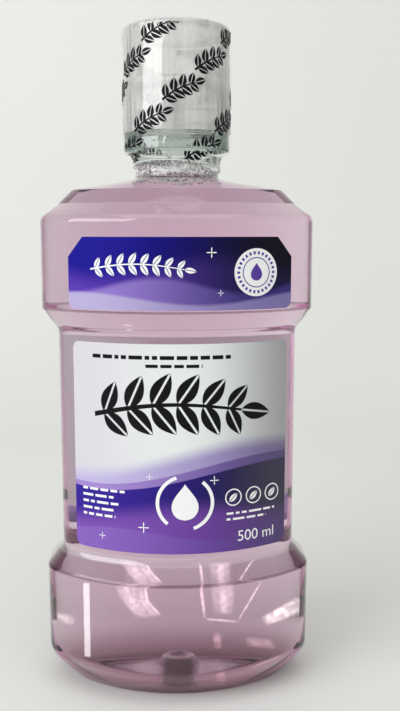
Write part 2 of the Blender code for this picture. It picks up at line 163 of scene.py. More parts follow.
# The liquid's skin lies just under the bottle's outer face, because a wet wall can't be seen from outside
LIQUID_INSET = 0.00012
LIQUID_TOP_Z = 0.1674
NECK_WALL_FOOT_Z = LIQUID_TOP_Z + 0.0032

# Froth. The bubbles at the neck's foot lie FOOT_DEPTH of their radius under the wall.
FROTH_BUBBLES = 2200
FOOT_BUBBLES = 1800
FOOT_DEPTH = 1.35
SMALLEST_BUBBLE = 0.00015
BUBBLE_SPREAD = 0.0004
BIG_BUBBLE = 0.0003

# Seeds of the random draws
FROTH_SEED = 7
FRONT_SEED = 11
BACK_SEED = 5
STRIP_SEED = 3

# Steps
PUSH_UP_STEPS = 10
DOME_STEPS = 8
CAP_STEPS = 192
FILM_STEPS = 264
FACE_STEPS = 22
CORNER_STEPS = 12
RING = 4 * (FACE_STEPS + CORNER_STEPS + 1)
ROUND_STEPS = 5
STRIP_STEPS = 12

# (inset from the widest outline, height, how far the corner's rounding reaches)
BODY_PROFILE = [
    (STANDING_INNER, 0.0, 0.0),
    (0.0092, 0.0, 0.0007),
    (0.0047, 0.0049, 0.0022),
    (0.0009, 0.0099, 0.0021),
    (0.0, BULGE_FOOT_Z, 0.0010),
    (0.0, BULGE_TOP_Z, 0.0009),
    (WAIST_INSET, WAIST_FOOT_Z, 0.0016),
    (WAIST_INSET, WAIST_TOP_Z, 0.0018),
    (0.00245, 0.1220, 0.0010),
    (0.00098, 0.1243, 0.0008),
    (0.0, UPPER_CREASE_Z, 0.0007),
    (0.0, 0.1534, 0.0006),
    (0.0007, 0.1549, 0.0006),
    (0.0054, 0.1585, 0.0003),
    (0.0098, SHOULDER_TOP_Z - 0.0002, 0.0),
    (0.0103, SHOULDER_TOP_Z, 0.0),
]

# The moulding gate on the push-up, from its middle out: (radius, height above the push-up).
# The rings of its side are GATE_RINGS.
GATE_PROFILE = [
    (0.0006, 0.0030),
    (0.0024, 0.0030),
    (0.0032, 0.0038),
    (0.0042, 0.0039),
    (0.0049, 0.0034),
    (0.0055, 0.0012),
]
GATE_RINGS = (2, 3, 4)
BASE_RINGS = len(GATE_PROFILE) + PUSH_UP_STEPS + 1

# (turn from the front, positive to the right, in radians; how high the froth stands there)
FROTH_HEIGHTS = [(-3.1, 0.0030), (-1.4, 0.0042), (-0.5, 0.0058), (0.2, 0.0058), (1.1, 0.0022), (3.1, 0.0030)]

# Stage and camera, with its turns in degrees
SWEEP_FRONT_Y = -0.9
SWEEP_BEND = 0.35
SWEEP_HEIGHT = 1.6
SWEEP_HALF_WIDTH = 1.6
CARD_LEFT = (-0.0555, -0.0310)
CARD_RIGHT = (-0.0530, -0.0345)
CARD_HEIGHT = 0.0275
SENSOR_HEIGHT = 24.0
PICTURE_HEIGHT_PIXELS = 711.0
FOCAL_PIXELS = 870.0
CAMERA_PLACE = (0.0, -0.2861, 0.1498)
CAMERA_DOWN = 8.08
CAMERA_RIGHT = 1.5

FRONT = -1
BACK = 1


# Shapes


def mix(a, b, t):
    return a + (b - a) * t


def curve(start, corner, end, t):
    """A quadratic curve from start to end that bends towards the corner."""
    return mix(mix(start, corner, t), mix(corner, end, t), t)


def face_radius():
    """The radius of the bowed faces, as their bow and the body's width give it."""
    bow = (BODY_DEPTH - SIDE_WIDTH) / 2
    half = BODY_WIDTH / 2
    return (half**2 + bow**2) / (2 * bow)


FACE_RADIUS = face_radius()
FACE_CENTRE = BODY_DEPTH / 2 - FACE_RADIUS


def face_point(turn, inset, z, side):
    """The point on the bowed front or back at a turn about the bow's own centre."""
    reach = FACE_RADIUS - inset
    return (reach * math.sin(turn), side * (FACE_CENTRE + reach * math.cos(turn)), z)


def outline(inset, z):
    """The outline at an inset, counter-clockwise from above, from the middle of the front."""
    reach = FACE_RADIUS - inset
    half = BODY_WIDTH / 2 - inset
    last = math.asin(half / reach)
    corner_y = -face_point(last, inset, z, FRONT)[1]
    cut = min(CORNER_CUT, corner_y * CORNER_SIDE_SHARE)
    start = last - CORNER_CUT / reach
    right = [face_point(start * k / FACE_STEPS, inset, z, FRONT) for k in range(FACE_STEPS + 1)]
    ax, ay, _ = right[-1]
    for k in range(1, CORNER_STEPS + 1):
        t = k / CORNER_STEPS
        right.append((mix(mix(ax, half, t), half, t), curve(ay, -corner_y, cut - corner_y, t), z))
    right.append((half, 0.0, z))
    half_way = right + [(x, -y, z) for x, y, _ in reversed(right[:-1])]
    return half_way + [(-x, y, z) for x, y, _ in reversed(half_way[1:-1])]


def around(turn, radius, z):
    """The point at a turn about the neck's axis, counted from the front."""
    return radius * math.sin(turn), -radius * math.cos(turn), z


def circle(radius, z, points=RING, wobble=None):
    """A ring about the neck's axis. wobble(turn, radius, z) gives each point its own radius."""
    turns = [math.tau * i / points for i in range(points)]
    return [around(turn, wobble(turn, radius, z) if wobble else radius, z) for turn in turns]


def turned(profile, points=RING, wobble=None):
    """Rings of a profile of (radius, height)."""
    return [circle(radius, z, points, wobble) for radius, z in profile]


def quarter(steps):
    """(sine, cosine) of the steps of a quarter turn."""
    turns = [math.pi / 2 * i / steps for i in range(steps + 1)]
    return [(math.sin(turn), math.cos(turn)) for turn in turns]


def blend(ring, other, share, z):
    return [(mix(a[0], b[0], share), mix(a[1], b[1], share), z) for a, b in zip(ring, other)]


def rounded(profile):
    """The profile with each corner turned into a short curve."""
    points = []
    for i, (inset, z, reach) in enumerate(profile):
        if reach == 0.0:
            points.append((inset, z))
            continue
        ends = []
        for other in (profile[i - 1], profile[i + 1]):
            away = (other[0] - inset, other[1] - z)
            length = math.hypot(*away)
            share = min(reach, length * 0.48) / length
            ends.append((inset + away[0] * share, z + away[1] * share))
        (ax, az), (bx, bz) = ends
        for k in range(ROUND_STEPS + 1):
            t = k / ROUND_STEPS
            points.append((curve(ax, inset, bx, t), curve(az, z, bz, t)))
    return points


def thinned(profile, distance):
    """The profile moved inwards by the distance, with mitred corners."""
    normals = []
    for (a, z), (b, w) in zip(profile, profile[1:]):
        length = math.hypot(b - a, w - z)
        normals.append(((w - z) / length, (a - b) / length))
    points = []
    for i, (inset, z) in enumerate(profile):
        before = normals[max(i - 1, 0)]
        after = normals[min(i, len(normals) - 1)]
        scale = distance / (1 + before[0] * after[0] + before[1] * after[1])
        points.append((inset + scale * (before[0] + after[0]), z + scale * (before[1] + after[1])))
    return points


def base_rings(edge, distance):
    """The push-up under the bottle, from its gate out to the inner edge of the foot."""
    top = PUSH_UP_HEIGHT + distance
    centre = circle(GATE_FOOT_RADIUS, top)
    rings = turned((radius, top + rise) for radius, rise in GATE_PROFILE) + [centre]
    for k in range(PUSH_UP_STEPS - 1, 0, -1):
        share = k / PUSH_UP_STEPS
        rings.append(blend(edge, centre, share, mix(distance, top, math.sin(share * math.pi / 2) ** 0.9)))
    return rings


def dome_rings(edge, distance):
    """The shoulder's top, from its inner edge to the foot of the neck, moved inwards by the distance."""
    foot = SHOULDER_TOP_Z - distance
    top = NECK_FOOT_Z - distance
    neck = circle(NECK_RADIUS - distance + NECK_FILLET, top)
    shares = [k / DOME_STEPS for k in range(1, DOME_STEPS + 1)]
    return [blend(edge, neck, share, mix(foot, top, share)) for share in shares]


def hull_rings(distance):
    """The body from its gate up to the foot of the neck, moved inwards by the distance."""
    rings = [outline(inset, z) for inset, z in thinned(rounded(BODY_PROFILE), distance)]
    return base_rings(rings[0], distance) + rings + dome_rings(rings[-1], distance)


def mesh_from(name, points, faces):
    mesh = bpy.data.meshes.new(name)
    mesh.from_pydata(points, [], faces)
    return mesh


def mesh_of(name, rings, ends=True, closed=False):
    """A mesh through rings of equally many points. closed joins the last ring to the first."""
    count = len(rings[0])
    points = [p for ring in rings for p in ring]
    pairs = [(k, k + 1) for k in range(len(rings) - 1)]
    if closed:
        pairs.append((len(rings) - 1, 0))
    faces = []
    for low, high in pairs:
        for i in range(count):
            j = (i + 1) % count
            faces.append((low * count + i, low * count + j, high * count + j, high * count + i))
    if ends and not closed:
        faces.append(tuple(range(count - 1, -1, -1)))
        faces.append(tuple(range((len(rings) - 1) * count, len(rings) * count)))
    mesh = mesh_from(name, points, faces)
    bm = bmesh.new()
    bm.from_mesh(mesh)
    bmesh.ops.recalc_face_normals(bm, faces=bm.faces)
    bm.to_mesh(mesh)
    bm.free()
    return mesh


def weigh_normals(mesh):
    """Gives large faces the most say in shared normals, so that bands stay flat up to their creases."""
    sums = [Vector() for _ in mesh.vertices]
    for face in mesh.polygons:
        for index in face.vertices:
            sums[index] += face.normal * face.area
    mesh.normals_split_custom_set_from_vertices([total.normalized() for total in sums])


def put(data):
    """A new object in the scene, named after its data."""
    obj = bpy.data.objects.new(data.name, data)
    bpy.context.scene.collection.objects.link(obj)
    return obj


def piece(mesh, body, slot, looks, replaces=(), sharp=None):
    """Puts a mesh in the scene, riding on a body. Without a sharp angle its normals are weighed."""
    obj = put(mesh)
    for look in looks:
        mesh.materials.append(look)
    mesh.shade_smooth()
    if sharp is None:
        weigh_normals(mesh)
    else:
        mesh.set_sharp_from_angle(angle=math.radians(sharp))
    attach(obj, body)
    if replaces:
        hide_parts(*replaces)


def staged(mesh, look, hidden_from=()):
    """Puts a mesh in the scene for the picture only, hidden from some kinds of rays."""
    mesh.materials.append(look.material)
    obj = put(mesh)
    for rays in hidden_from:
        setattr(obj, "visible_" + rays, False)


# Materials


class Field:
    """A number that varies over a surface, built from nodes."""

    def __init__(self, nodes, socket):
        self.nodes = nodes
        self.socket = socket

    def of(self, operation, *others):
        node = self.nodes.node("ShaderNodeMath", self, *others)
        node.operation = operation
        return Field(self.nodes, node.outputs[0])

    def __add__(self, other):
        return self.of("ADD", other)

    def __sub__(self, other):
        return self.of("SUBTRACT", other)

    def __mul__(self, other):
        return self.of("MULTIPLY", other)

    def __truediv__(self, other):
        return self.of("DIVIDE", other)

    def spread(self, low, high):
        """low where this is 0 and high where it is 1."""
        node = self.nodes.node("ShaderNodeMapRange", self, To_Min=low, To_Max=high)
        return Field(self.nodes, node.outputs[0])

    def step(self, low, high):
        """0 below low and 1 above high, with a soft ramp. low may be above high."""
        node = self.nodes.node("ShaderNodeMapRange", self, min(low, high), max(low, high))
        node.interpolation_type = "SMOOTHSTEP"
        if low > high:
            node.inputs["To Min"].default_value = 1.0
            node.inputs["To Max"].default_value = 0.0
        return Field(self.nodes, node.outputs[0])

    def inside(self, soft):
        """1 where this distance is below zero."""
        return self.step(soft, -soft)


class Nodes:
    """A node tree and what it takes to fill it."""

    def __init__(self, tree):
        self.tree = tree

    def fill(self, socket, value):
        """Sets an input to a number or a colour, or links a field, a socket or a node's first output."""
        if isinstance(value, Field):
            value = value.socket
        if isinstance(value, bpy.types.Node):
            value = value.outputs[0]
        if isinstance(value, bpy.types.NodeSocket):
            self.tree.links.new(value, socket)
        else:
            socket.default_value = (*value, 1.0) if socket.type == "RGBA" else value

    def node(self, kind, *inputs, **named):
        """A node whose inputs are filled, the first ones in order and others by name."""
        node = self.tree.nodes.new(kind)
        for socket, value in zip(node.inputs, inputs):
            self.fill(socket, value)
        for name, value in named.items():
            self.fill(node.inputs[name.replace("_", " ")], value)
        return node

    def place(self, coordinates="Object"):
        """x, y and z as fields."""
        split = self.node("ShaderNodeSeparateXYZ", self.node("ShaderNodeTexCoord").outputs[coordinates])
        return [Field(self, output) for output in split.outputs]

    def noise(self, scale, detail=3.0, stretch=(1.0, 1.0, 1.0), kind="ShaderNodeTexNoise"):
        place = self.node("ShaderNodeTexCoord").outputs["Object"]
        mapping = self.node("ShaderNodeMapping", Vector=place, Scale=stretch)
        return Field(self, self.node(kind, Vector=mapping, Scale=scale, Detail=detail).outputs[0])

    def mixed(self, share, a, b):
        """Colour a where share is 0 and b where it is 1. Each is a colour or another mix."""
        node = self.node("ShaderNodeMix", share)
        node.data_type = "RGBA"
        self.fill(node.inputs[6], a)
        self.fill(node.inputs[7], b)
        return node.outputs[2]

    def bump(self, height, strength, distance):
        return self.node("ShaderNodeBump", Strength=strength, Distance=distance, Height=height)

    def blend(self, share, a, b):
        """Shader a where share is 0 and shader b where it is 1."""
        return self.node("ShaderNodeMixShader", share, a, b)


class Look(Nodes):
    """A node material with a Principled shader."""

    def __init__(self, name):
        self.material = bpy.data.materials.new(name)
        self.material.use_nodes = True
        super().__init__(self.material.node_tree)
        self.shader = self.tree.nodes["Principled BSDF"]
        self.output = self.tree.nodes["Material Output"]

    def set(self, **values):
        for key, value in values.items():
            self.fill(self.shader.inputs[key.replace("_", " ")], value)

    def show(self, shader):
        self.fill(self.output.inputs["Surface"], shader)

    def absorb(self, colour, density):
        volume = self.node("ShaderNodeVolumeAbsorption", Color=colour, Density=density)
        self.fill(self.output.inputs["Volume"], volume)

    def let_through(self, share, colour):
        """Lets this share of the light through, scattered and coloured, as a thin white film does."""
        both = self.blend(share, self.shader, self.node("ShaderNodeBsdfTranslucent", Color=colour))
        self.show(both)
        return both

    def schlick(self, straight):
        """The share of light that a clear face reflects, from its least value straight on up to all of it."""
        facing = Field(self, self.node("ShaderNodeLayerWeight", Blend=0.5).outputs["Facing"])
        return facing.of("POWER", 5.0) * (1.0 - straight) + straight


def clear_skin(name, straight, tint, roughness, haze=0.0, ripple=0.0, foot=None):
    """A thin clear wall: it lets light through without bending it and reflects at its face.

    straight is the share of light that it reflects straight on. foot is a colour that it takes on towards the
    bottle's foot, where it is thicker and where the darker tint is also painted shade under the bottle.
    """
    look = Look(name)
    look.set(Base_Color=(0.92, 0.93, 0.91), Roughness=0.5)
    milky = look.let_through(0.15, (0.94, 0.96, 0.93))
    if foot:
        tint = look.mixed(look.place()[2].step(THICK_AND_SHADED_FOOT_Z, 0.0), tint, foot)
    base = look.node("ShaderNodeBsdfTransparent", Color=tint)
    if haze > 0.0:
        streaks = look.noise(260.0, 4.0, (1.0, 1.0, 0.08)).step(0.35, 0.7) * (haze * 0.5) + haze * 0.85
        base = look.blend(streaks, base, milky)
    uneven = look.bump(look.noise(180.0, 2.0), ripple, 0.0004)
    gloss = look.node("ShaderNodeBsdfGlossy", Color=(1.0, 1.0, 1.0), Roughness=roughness, Normal=uneven)
    outside = Field(look, look.node("ShaderNodeNewGeometry").outputs["Backfacing"]) * -1.0 + 1.0
    look.show(look.blend(look.schlick(straight) * outside, base, gloss))
    return look.material


def solid_clear(name, ior, roughness, tint=(1.0, 1.0, 1.0), absorb=None, density=0.0, ripple=0.0):
    """A clear body that bends light, with an optional colour that deepens with distance."""
    look = Look(name)
    look.set(Base_Color=tint, Roughness=roughness, IOR=ior, Transmission_Weight=1.0)
    if ripple > 0.0:
        look.set(Normal=look.bump(look.noise(180.0, 2.0), ripple, 0.0003))
    if absorb:
        look.absorb(absorb, density)
    return look.material


def liquid_look():
    """The mouthwash. Over the uneven push-up it scatters what it bends, and a dark wine diffuse mixed in
    there is painted shade for the shaded table under the bottle.
    """
    look = Look("mauve_mouthwash")
    x, y, z = look.place()
    out = (x / PUSH_UP_HALF_WIDTH).of("POWER", 2.0) + (y / PUSH_UP_HALF_DEPTH).of("POWER", 2.0)
    over = out.step(1.05, 0.95) * z.step(BULGE_TOP_Z, BULGE_FOOT_Z)
    look.set(Base_Color=(1.0, 1.0, 1.0), IOR=1.34, Transmission_Weight=1.0, Roughness=over.spread(0.0, 0.30))
    # Painted shade: a dark wine diffuse mixed in over the push-up
    painted_base_shade = look.node("ShaderNodeBsdfDiffuse", Color=(0.22, 0.075, 0.115))
    look.show(look.blend(over * 0.55, look.shader, painted_base_shade))
    look.absorb((0.71, 0.32, 0.58), 19.5)
    return look.material


# The wall's foot tint is darker partly for thicker plastic and partly as painted shade under the bottle
PET = clear_skin("clear_pet_wall", 0.045, (0.985, 0.985, 0.985), 0.02, ripple=0.05, foot=(0.50, 0.32, 0.38))
# Painted shade: the base's dark tint stands in partly for the shaded table under the bottle, partly for
# thicker plastic
BASE = clear_skin("thick_base_painted_shade", 0.02, (0.62, 0.46, 0.52), 0.10)
GATE = clear_skin("thick_gate_ring", 0.03, (0.86, 0.78, 0.84), 0.10)
# Painted shade: a darker tint along the creases
CREASE = clear_skin("crease_painted_shade", 0.045, (0.62, 0.55, 0.59), 0.05)
# Painted highlight: a pale, milky tint along the fillet at the waist's foot
FILLET = clear_skin("fillet_painted_highlight", 0.06, (0.98, 0.97, 0.98), 0.10, haze=0.15)
# Painted shade: the shoulder's band and, much more, its corners are darkened
SHOULDER = clear_skin("shoulder_band_painted_shade", 0.045, (0.80, 0.73, 0.77), 0.02, ripple=0.05)
CORNER = clear_skin("shoulder_corner_painted_shade", 0.045, (0.37, 0.28, 0.32), 0.02, ripple=0.05)
FROTHY = clear_skin("frothy_neck_foot", 0.045, (0.985, 0.985, 0.985), 0.02, haze=0.08, ripple=0.05)
THREAD = solid_clear("clear_thread", 1.12, 0.05, (0.97, 0.98, 0.97))
NECK_WALL = solid_clear("thick_neck_wall", 1.20, 0.03, absorb=(0.45, 0.60, 0.54), density=95.0)
LIQUID = liquid_look()
FILM = clear_skin("printed_film_clear", 0.07, (0.98, 0.985, 0.98), 0.06, haze=0.46, ripple=0.15)
NECK_FILM = clear_skin("printed_film_neck", 0.08, (0.97, 0.975, 0.97), 0.07, haze=0.10, ripple=0.5)
# Painted highlight: the film's lower edge is paled with haze into a bright line
FILM_EDGE = clear_skin("film_edge_painted_highlight", 0.25, (0.9, 0.9, 0.9), 0.15, haze=0.80, ripple=0.2)
CUP = solid_clear("cap_cup_clear", 1.49, 0.03, (0.98, 0.99, 0.985), ripple=0.05)
CUP_LID = solid_clear("cap_cup_top_frosted", 1.49, 0.28, (0.97, 0.98, 0.975))
INSERT = solid_clear("cap_insert_frosted", 1.18, 0.12, (0.99, 0.995, 0.99))
FLANGE = solid_clear("cap_flange_tinted", 1.04, 0.03, absorb=(0.20, 0.40, 0.33), density=190.0, ripple=0.1)


def foam_look():
    look = Look("seal_foam_soft")
    cells = look.noise(2600.0, kind="ShaderNodeTexVoronoi")
    look.set(Base_Color=look.mixed(cells, (0.70, 0.70, 0.68), (0.86, 0.86, 0.84)), Roughness=0.7)
    look.set(Normal=look.bump(cells, 0.4, 0.0001))
    return look.material


def froth_look():
    look = Look("froth_bubbles")
    look.set(Roughness=0.12, IOR=1.3, Transmission_Weight=0.15)
    look.set(Base_Color=look.mixed(look.noise(1500.0), (0.95, 0.90, 0.93), (1.0, 0.99, 1.0)))
    return look.material


def ink_look(name, colour):
    look = Look(name)
    paler = tuple(min(1.0, c * 1.2 + 0.001) for c in colour)
    spotted = look.mixed(look.noise(4000.0, 2.0), colour, paler)
    look.set(Base_Color=spotted, Roughness=0.4, Specular_IOR_Level=0.08)
    return look.material


def label_back_look(through):
    """The unprinted side of a label, which lets some light through."""
    look = Look("label_back_pale")
    fibres = look.noise(700.0, 4.0, (1.0, 1.0, 0.3))
    colour = look.mixed(fibres, (0.80, 0.79, 0.81), (0.87, 0.86, 0.87))
    look.set(Base_Color=colour, Roughness=fibres.spread(0.42, 0.6))
    look.let_through(through, (0.98, 0.97, 0.98))
    return look.material


def finish_label(look, colour, through=0.0):
    """Fine grain and slight ripples of a laminated label."""
    fine = look.mixed(look.noise(5200.0, 2.0) * 0.006, colour, (0.5, 0.5, 0.5))
    ripples = look.bump(look.noise(60.0, 3.0, (1.0, 1.0, 0.6)), 0.25, 0.0006)
    rough = look.noise(220.0, 4.0).spread(0.34, 0.46)
    look.set(Base_Color=fine, Normal=ripples, Roughness=rough, Specular_IOR_Level=0.10)
    if through:
        look.let_through(through, fine)
    return look.material


def arc_place(look, inset, foot):
    """Along the bowed face from the label's middle and up from its foot, in metres."""
    x, _, z = look.place()
    reach = FACE_RADIUS - inset
    return (x / reach).of("ARCSINE") * reach - LABEL_SHIFT, z - foot


def below_wave(u, v, base, height, length, phase, soft=0.00008):
    """1 below a wave along u, with a soft edge."""
    return (v - ((u / length + phase).of("SINE") * height + base)).inside(soft)


def banded(look, u, v, colour, across, bands):
    """Bands of colour below waves, each with its colour at the left and at the right."""
    for *wave, left, right in bands:
        colour = look.mixed(below_wave(u, v, *wave), colour, look.mixed(across, left, right))
    return colour


# Bands as (base, height, length and phase of the wave, softness, left colour, right colour)
SHOULDER_BANDS = [
    (0.0120, 0.0030, 0.0110, 0.6, 0.0040, (0.09, 0.035, 0.40), (0.010, 0.007, 0.05)),
    (0.0072, 0.0024, 0.0090, 2.4, 0.0012, (0.28, 0.18, 0.58), (0.045, 0.030, 0.19)),
    (0.0034, 0.0018, 0.0120, 4.2, 0.0007, (0.46, 0.40, 0.66), (0.22, 0.18, 0.42)),
]
FRONT_BANDS = [
    (0.0300, 0.0052, 0.0190, 0.3, 0.0030, (0.52, 0.46, 0.74), (0.30, 0.24, 0.50)),
    (0.0262, 0.0046, 0.0190, 0.0, 0.0001, (0.36, 0.24, 0.62), (0.13, 0.08, 0.30)),
    (0.0240, 0.0042, 0.0190, -0.1, 0.0001, (0.035, 0.014, 0.30), (0.008, 0.006, 0.050)),
    (0.0125, 0.0026, 0.0140, 1.3, 0.0040, (0.20, 0.08, 0.44), (0.12, 0.04, 0.28)),
    (0.0058, 0.0018, 0.0110, 3.4, 0.0002, (0.24, 0.12, 0.50), (0.11, 0.045, 0.30)),
]


def shoulder_look():
    look = Look("shoulder_label_print")
    u, v = arc_place(look, 0.0, SHOULDER_LABEL_FOOT_Z)
    across = u.step(-0.030, 0.026)
    ground = look.mixed(across, (0.005, 0.002, 0.27), (0.003, 0.002, 0.012))
    return finish_label(look, banded(look, u, v, ground, across, SHOULDER_BANDS))


def front_look():
    look = Look("front_label_print")
    u, v = arc_place(look, WAIST_INSET, WAIST_LABEL_FOOT_Z)
    # The ground is darker at the left end: painted shade that tones down the window lamp's light there
    ground = look.mixed(u.step(-0.034, 0.0), (0.67, 0.65, 0.71), (0.79, 0.82, 0.81))
    colour = banded(look, u, v, ground, u.step(-0.032, 0.030), FRONT_BANDS)
    # Painted shade: the grey fade towards the right end, where the label turns away from the light
    return finish_label(look, look.mixed(u.step(0.004, 0.038) * 0.58, colour, (0.10, 0.09, 0.12)))


def back_look():
    look = Look("back_label_print")
    u, v = arc_place(look, WAIST_INSET, WAIST_LABEL_FOOT_Z)
    upper = below_wave(u, v, 0.0080, 0.0022, 0.0150, 0.4)
    lower = below_wave(u, v, 0.0045, 0.0020, 0.0130, 2.0)
    colour = look.mixed(lower, look.mixed(upper, (0.80, 0.80, 0.81), (0.30, 0.20, 0.56)), (0.07, 0.035, 0.26))
    return finish_label(look, colour, through=0.85)


# Print, as thin sheets laid over a curved face. A sheet is its points (u, v) and its faces.


def sheet(shape, along, across=2):
    """shape(t, s) gives (u, v), for t from 0 to 1 along the sheet and s from -1 to 1 across it."""
    points = [shape(i / along, 2 * k / across - 1) for i in range(along + 1) for k in range(across + 1)]
    faces = []
    for i in range(along):
        for k in range(across):
            a = i * (across + 1) + k
            faces.append((a, a + 1, a + across + 2, a + across + 1))
    return points, faces


def moved(sheets, u, v, angle=0.0):
    c = math.cos(angle)
    s = math.sin(angle)
    return [([(u + c * a - s * b, v + s * a + c * b) for a, b in points], faces) for points, faces in sheets]


def leaf(length, width):
    """A pointed leaf along +u from its stalk, in two halves with a clear rib between them."""
    rib = 0.12 * width / 2

    def half(side):
        def shape(t, s):
            edge = width / 2 * max(0.0, math.sin(math.pi * t**0.85)) ** 0.85
            return length * t, side * mix(min(edge, rib), edge, (s + 1) / 2)

        return sheet(shape, 14, 3)

    return [half(-1), half(1)]


def sprig(length, arch, pairs, leaf_length, leaf_width, line):
    """An arched stem with pairs of leaves and a leaf at its tip."""

    def spine(t):
        return length * t, arch * math.sin(math.pi * t)

    def slope(t):
        return math.atan2(arch * math.pi * math.cos(math.pi * t), length)

    def stem(t, s):
        a, b = spine(t)
        return a, b + s * line / 2 * (1 - 0.5 * t)

    sheets = [sheet(stem, 40)]
    for k in range(pairs):
        t = (k + 0.45) / pairs
        size = 1 - 0.75 * (t - 0.42) ** 2
        for lean in (-LEAF_LEAN, LEAF_LEAN):
            sheets += moved(leaf(leaf_length * size, leaf_width * size), *spine(t), slope(t) + lean)
    return sheets + moved(leaf(leaf_length * 0.9, leaf_width * 0.9), *spine(1.0), slope(1.0))


def ring(radius, line, start=0.0, turns=1.0, across=2):
    def shape(t, s):
        reach = radius + s * line / 2
        angle = math.tau * (start + turns * t)
        return reach * math.cos(angle), reach * math.sin(angle)

    return [sheet(shape, max(4, round(64 * turns)), across)]


def disc(radius):
    return ring(radius / 2, radius, across=5)


def drop(radius):
    """A drop with its point up and its round part about the origin."""
    tip = 1.8 * radius

    def shape(t, s):
        v = mix(-radius, tip, t)
        if v < 0:
            return s * math.sqrt(max(0.0, radius**2 - v**2)), v
        return s * radius * max(0.0, math.cos(math.pi / 2 * v / tip)) ** 1.2, v

    return [sheet(shape, 28, 6)]


def bar(length, height):
    """A bar along +u that starts at the origin."""
    return [sheet(lambda t, s: (length * t, s * height / 2), max(1, math.ceil(length / 0.0012)))]


def star(size):
    def shape(t, s):
        angle = math.tau * t
        reach = size * (0.10 + 0.90 * abs(math.cos(2 * angle)) ** 9) * (s + 1) / 2
        return reach * math.cos(angle), reach * math.sin(angle)

    return [sheet(shape, 64)]


def dashes(rng, width, rows, pitch, height):
    """Rows of short bars of uneven length, as fine print looks from afar. The first row is the top one."""
    sheets = []
    for row in range(rows):
        at = 0.0
        end = width * rng.uniform(0.72, 1.0)
        while at < end:
            length = min(rng.uniform(0.0012, 0.0045), end - at)
            sheets += moved(bar(length, height), at, -row * pitch)
            at += length + 0.0008
    return sheets


def figures(text, size):
    """Plain figures and letters in Blender's own font, from the origin on."""
    letters = bpy.data.curves.new("figures", "FONT")
    letters.body = text
    letters.size = size
    obj = bpy.data.objects.new("figures", letters)
    mesh = obj.to_mesh()
    flat = ([(v.co.x, v.co.y) for v in mesh.vertices], [tuple(f.vertices) for f in mesh.polygons])
    obj.to_mesh_clear()
    bpy.data.objects.remove(obj)
    return [flat]


def laid(name, sheets, place, keep=None):
    """A mesh of sheets laid over a face. place(u, v) gives a point, and keep(u, v) says where it may lie."""
    points = []
    faces = []
    for flat, quads in sheets:
        kept = [quad for quad in quads if not keep or all(keep(*flat[k]) for k in quad)]
        used = sorted({k for quad in kept for k in quad})
        number = {k: len(points) + i for i, k in enumerate(used)}
        points += [place(*flat[k]) for k in used]
        for quad in kept:
            corners = [flat[k] for k in quad]
            turn = sum(a[0] * b[1] - b[0] * a[1] for a, b in zip(corners, corners[1:] + corners[:1]))
            faces.append(tuple(number[k] for k in (quad if turn > 0 else reversed(quad))))
    return mesh_from(name, points, faces)


def printed(name, sheets, place, body, slot, ink, keep=None):
    piece(laid(name, sheets, place, keep), body, slot, [ink], sharp=35)


# The bottle and what is in it


def skin_at(ring, column, centre, shoulder):
    """The wall's skin at a face. Its base is darker, for thicker plastic and as painted shade under the
    bottle; the creases and the shoulder's band and corners are darkened with painted shade; the fillet at the
    waist's foot is paled as a painted highlight.

    shoulder is the ring where the shoulder's slope begins.
    """
    if ring < BASE_RINGS:
        return GATE if ring in GATE_RINGS else BASE
    if min(abs(centre.z - crease) for crease in (BULGE_TOP_Z, UPPER_CREASE_Z)) < CREASE_REACH:
        return CREASE
    if abs(centre.z - WAIST_FOOT_Z) < FILLET_REACH:
        return FILLET
    if SHOULDER_TOP_Z < centre.z < NECK_FOOT_Z + NECK_FILLET and centre.xy.length < FROTH_REACH:
        return FROTHY
    if ring == shoulder:
        return CORNER if FACE_STEPS <= column % (RING // 2) < RING // 2 - FACE_STEPS else SHOULDER
    return PET


def bottle_shell():
    """The bottle's outer skin, with its neck, its lip and its bore.

    Its wet inner wall can't be seen below the liquid's top.
    """
    rings = hull_rings(0.0)
    shoulder = len(rings) - DOME_STEPS - 3
    rings += turned([
        (NECK_RADIUS + 0.0003, NECK_FOOT_Z + 0.0003),
        (NECK_RADIUS, NECK_FOOT_Z + NECK_FILLET),
        (NECK_RADIUS, BEAD_Z - BEAD_HEIGHT / 2),
        (BEAD_RADIUS - 0.0001, BEAD_Z - 0.0001),
        (BEAD_RADIUS, BEAD_Z + 0.0002),
        (BEAD_RADIUS, FINISH_Z - 0.0002),
        (BEAD_RADIUS - 0.0002, FINISH_Z),
        (FINISH_RADIUS, FINISH_Z + BEAD_HEIGHT / 2),
        (FINISH_RADIUS, MOUTH_Z - LIP_ROUND),
        (FINISH_RADIUS - LIP_ROUND * 0.3, MOUTH_Z - LIP_ROUND * 0.3),
        (FINISH_RADIUS - LIP_ROUND, MOUTH_Z),
        (BORE_RADIUS + LIP_ROUND, MOUTH_Z),
        (BORE_RADIUS + LIP_ROUND * 0.3, MOUTH_Z - LIP_ROUND * 0.3),
        (BORE_RADIUS, MOUTH_Z - LIP_ROUND),
        (BORE_RADIUS, FINISH_Z),
    ])
    mesh = mesh_of("bottle_shell", rings, ends=False)
    looks = [PET, BASE, GATE, CREASE, FILLET, SHOULDER, CORNER, FROTHY]
    for face in mesh.polygons:
        ring, column = divmod(face.index, RING)
        face.material_index = looks.index(skin_at(ring, column, face.center, shoulder))
    piece(mesh, "bottle", "clear_pet", looks, ["bottle"])


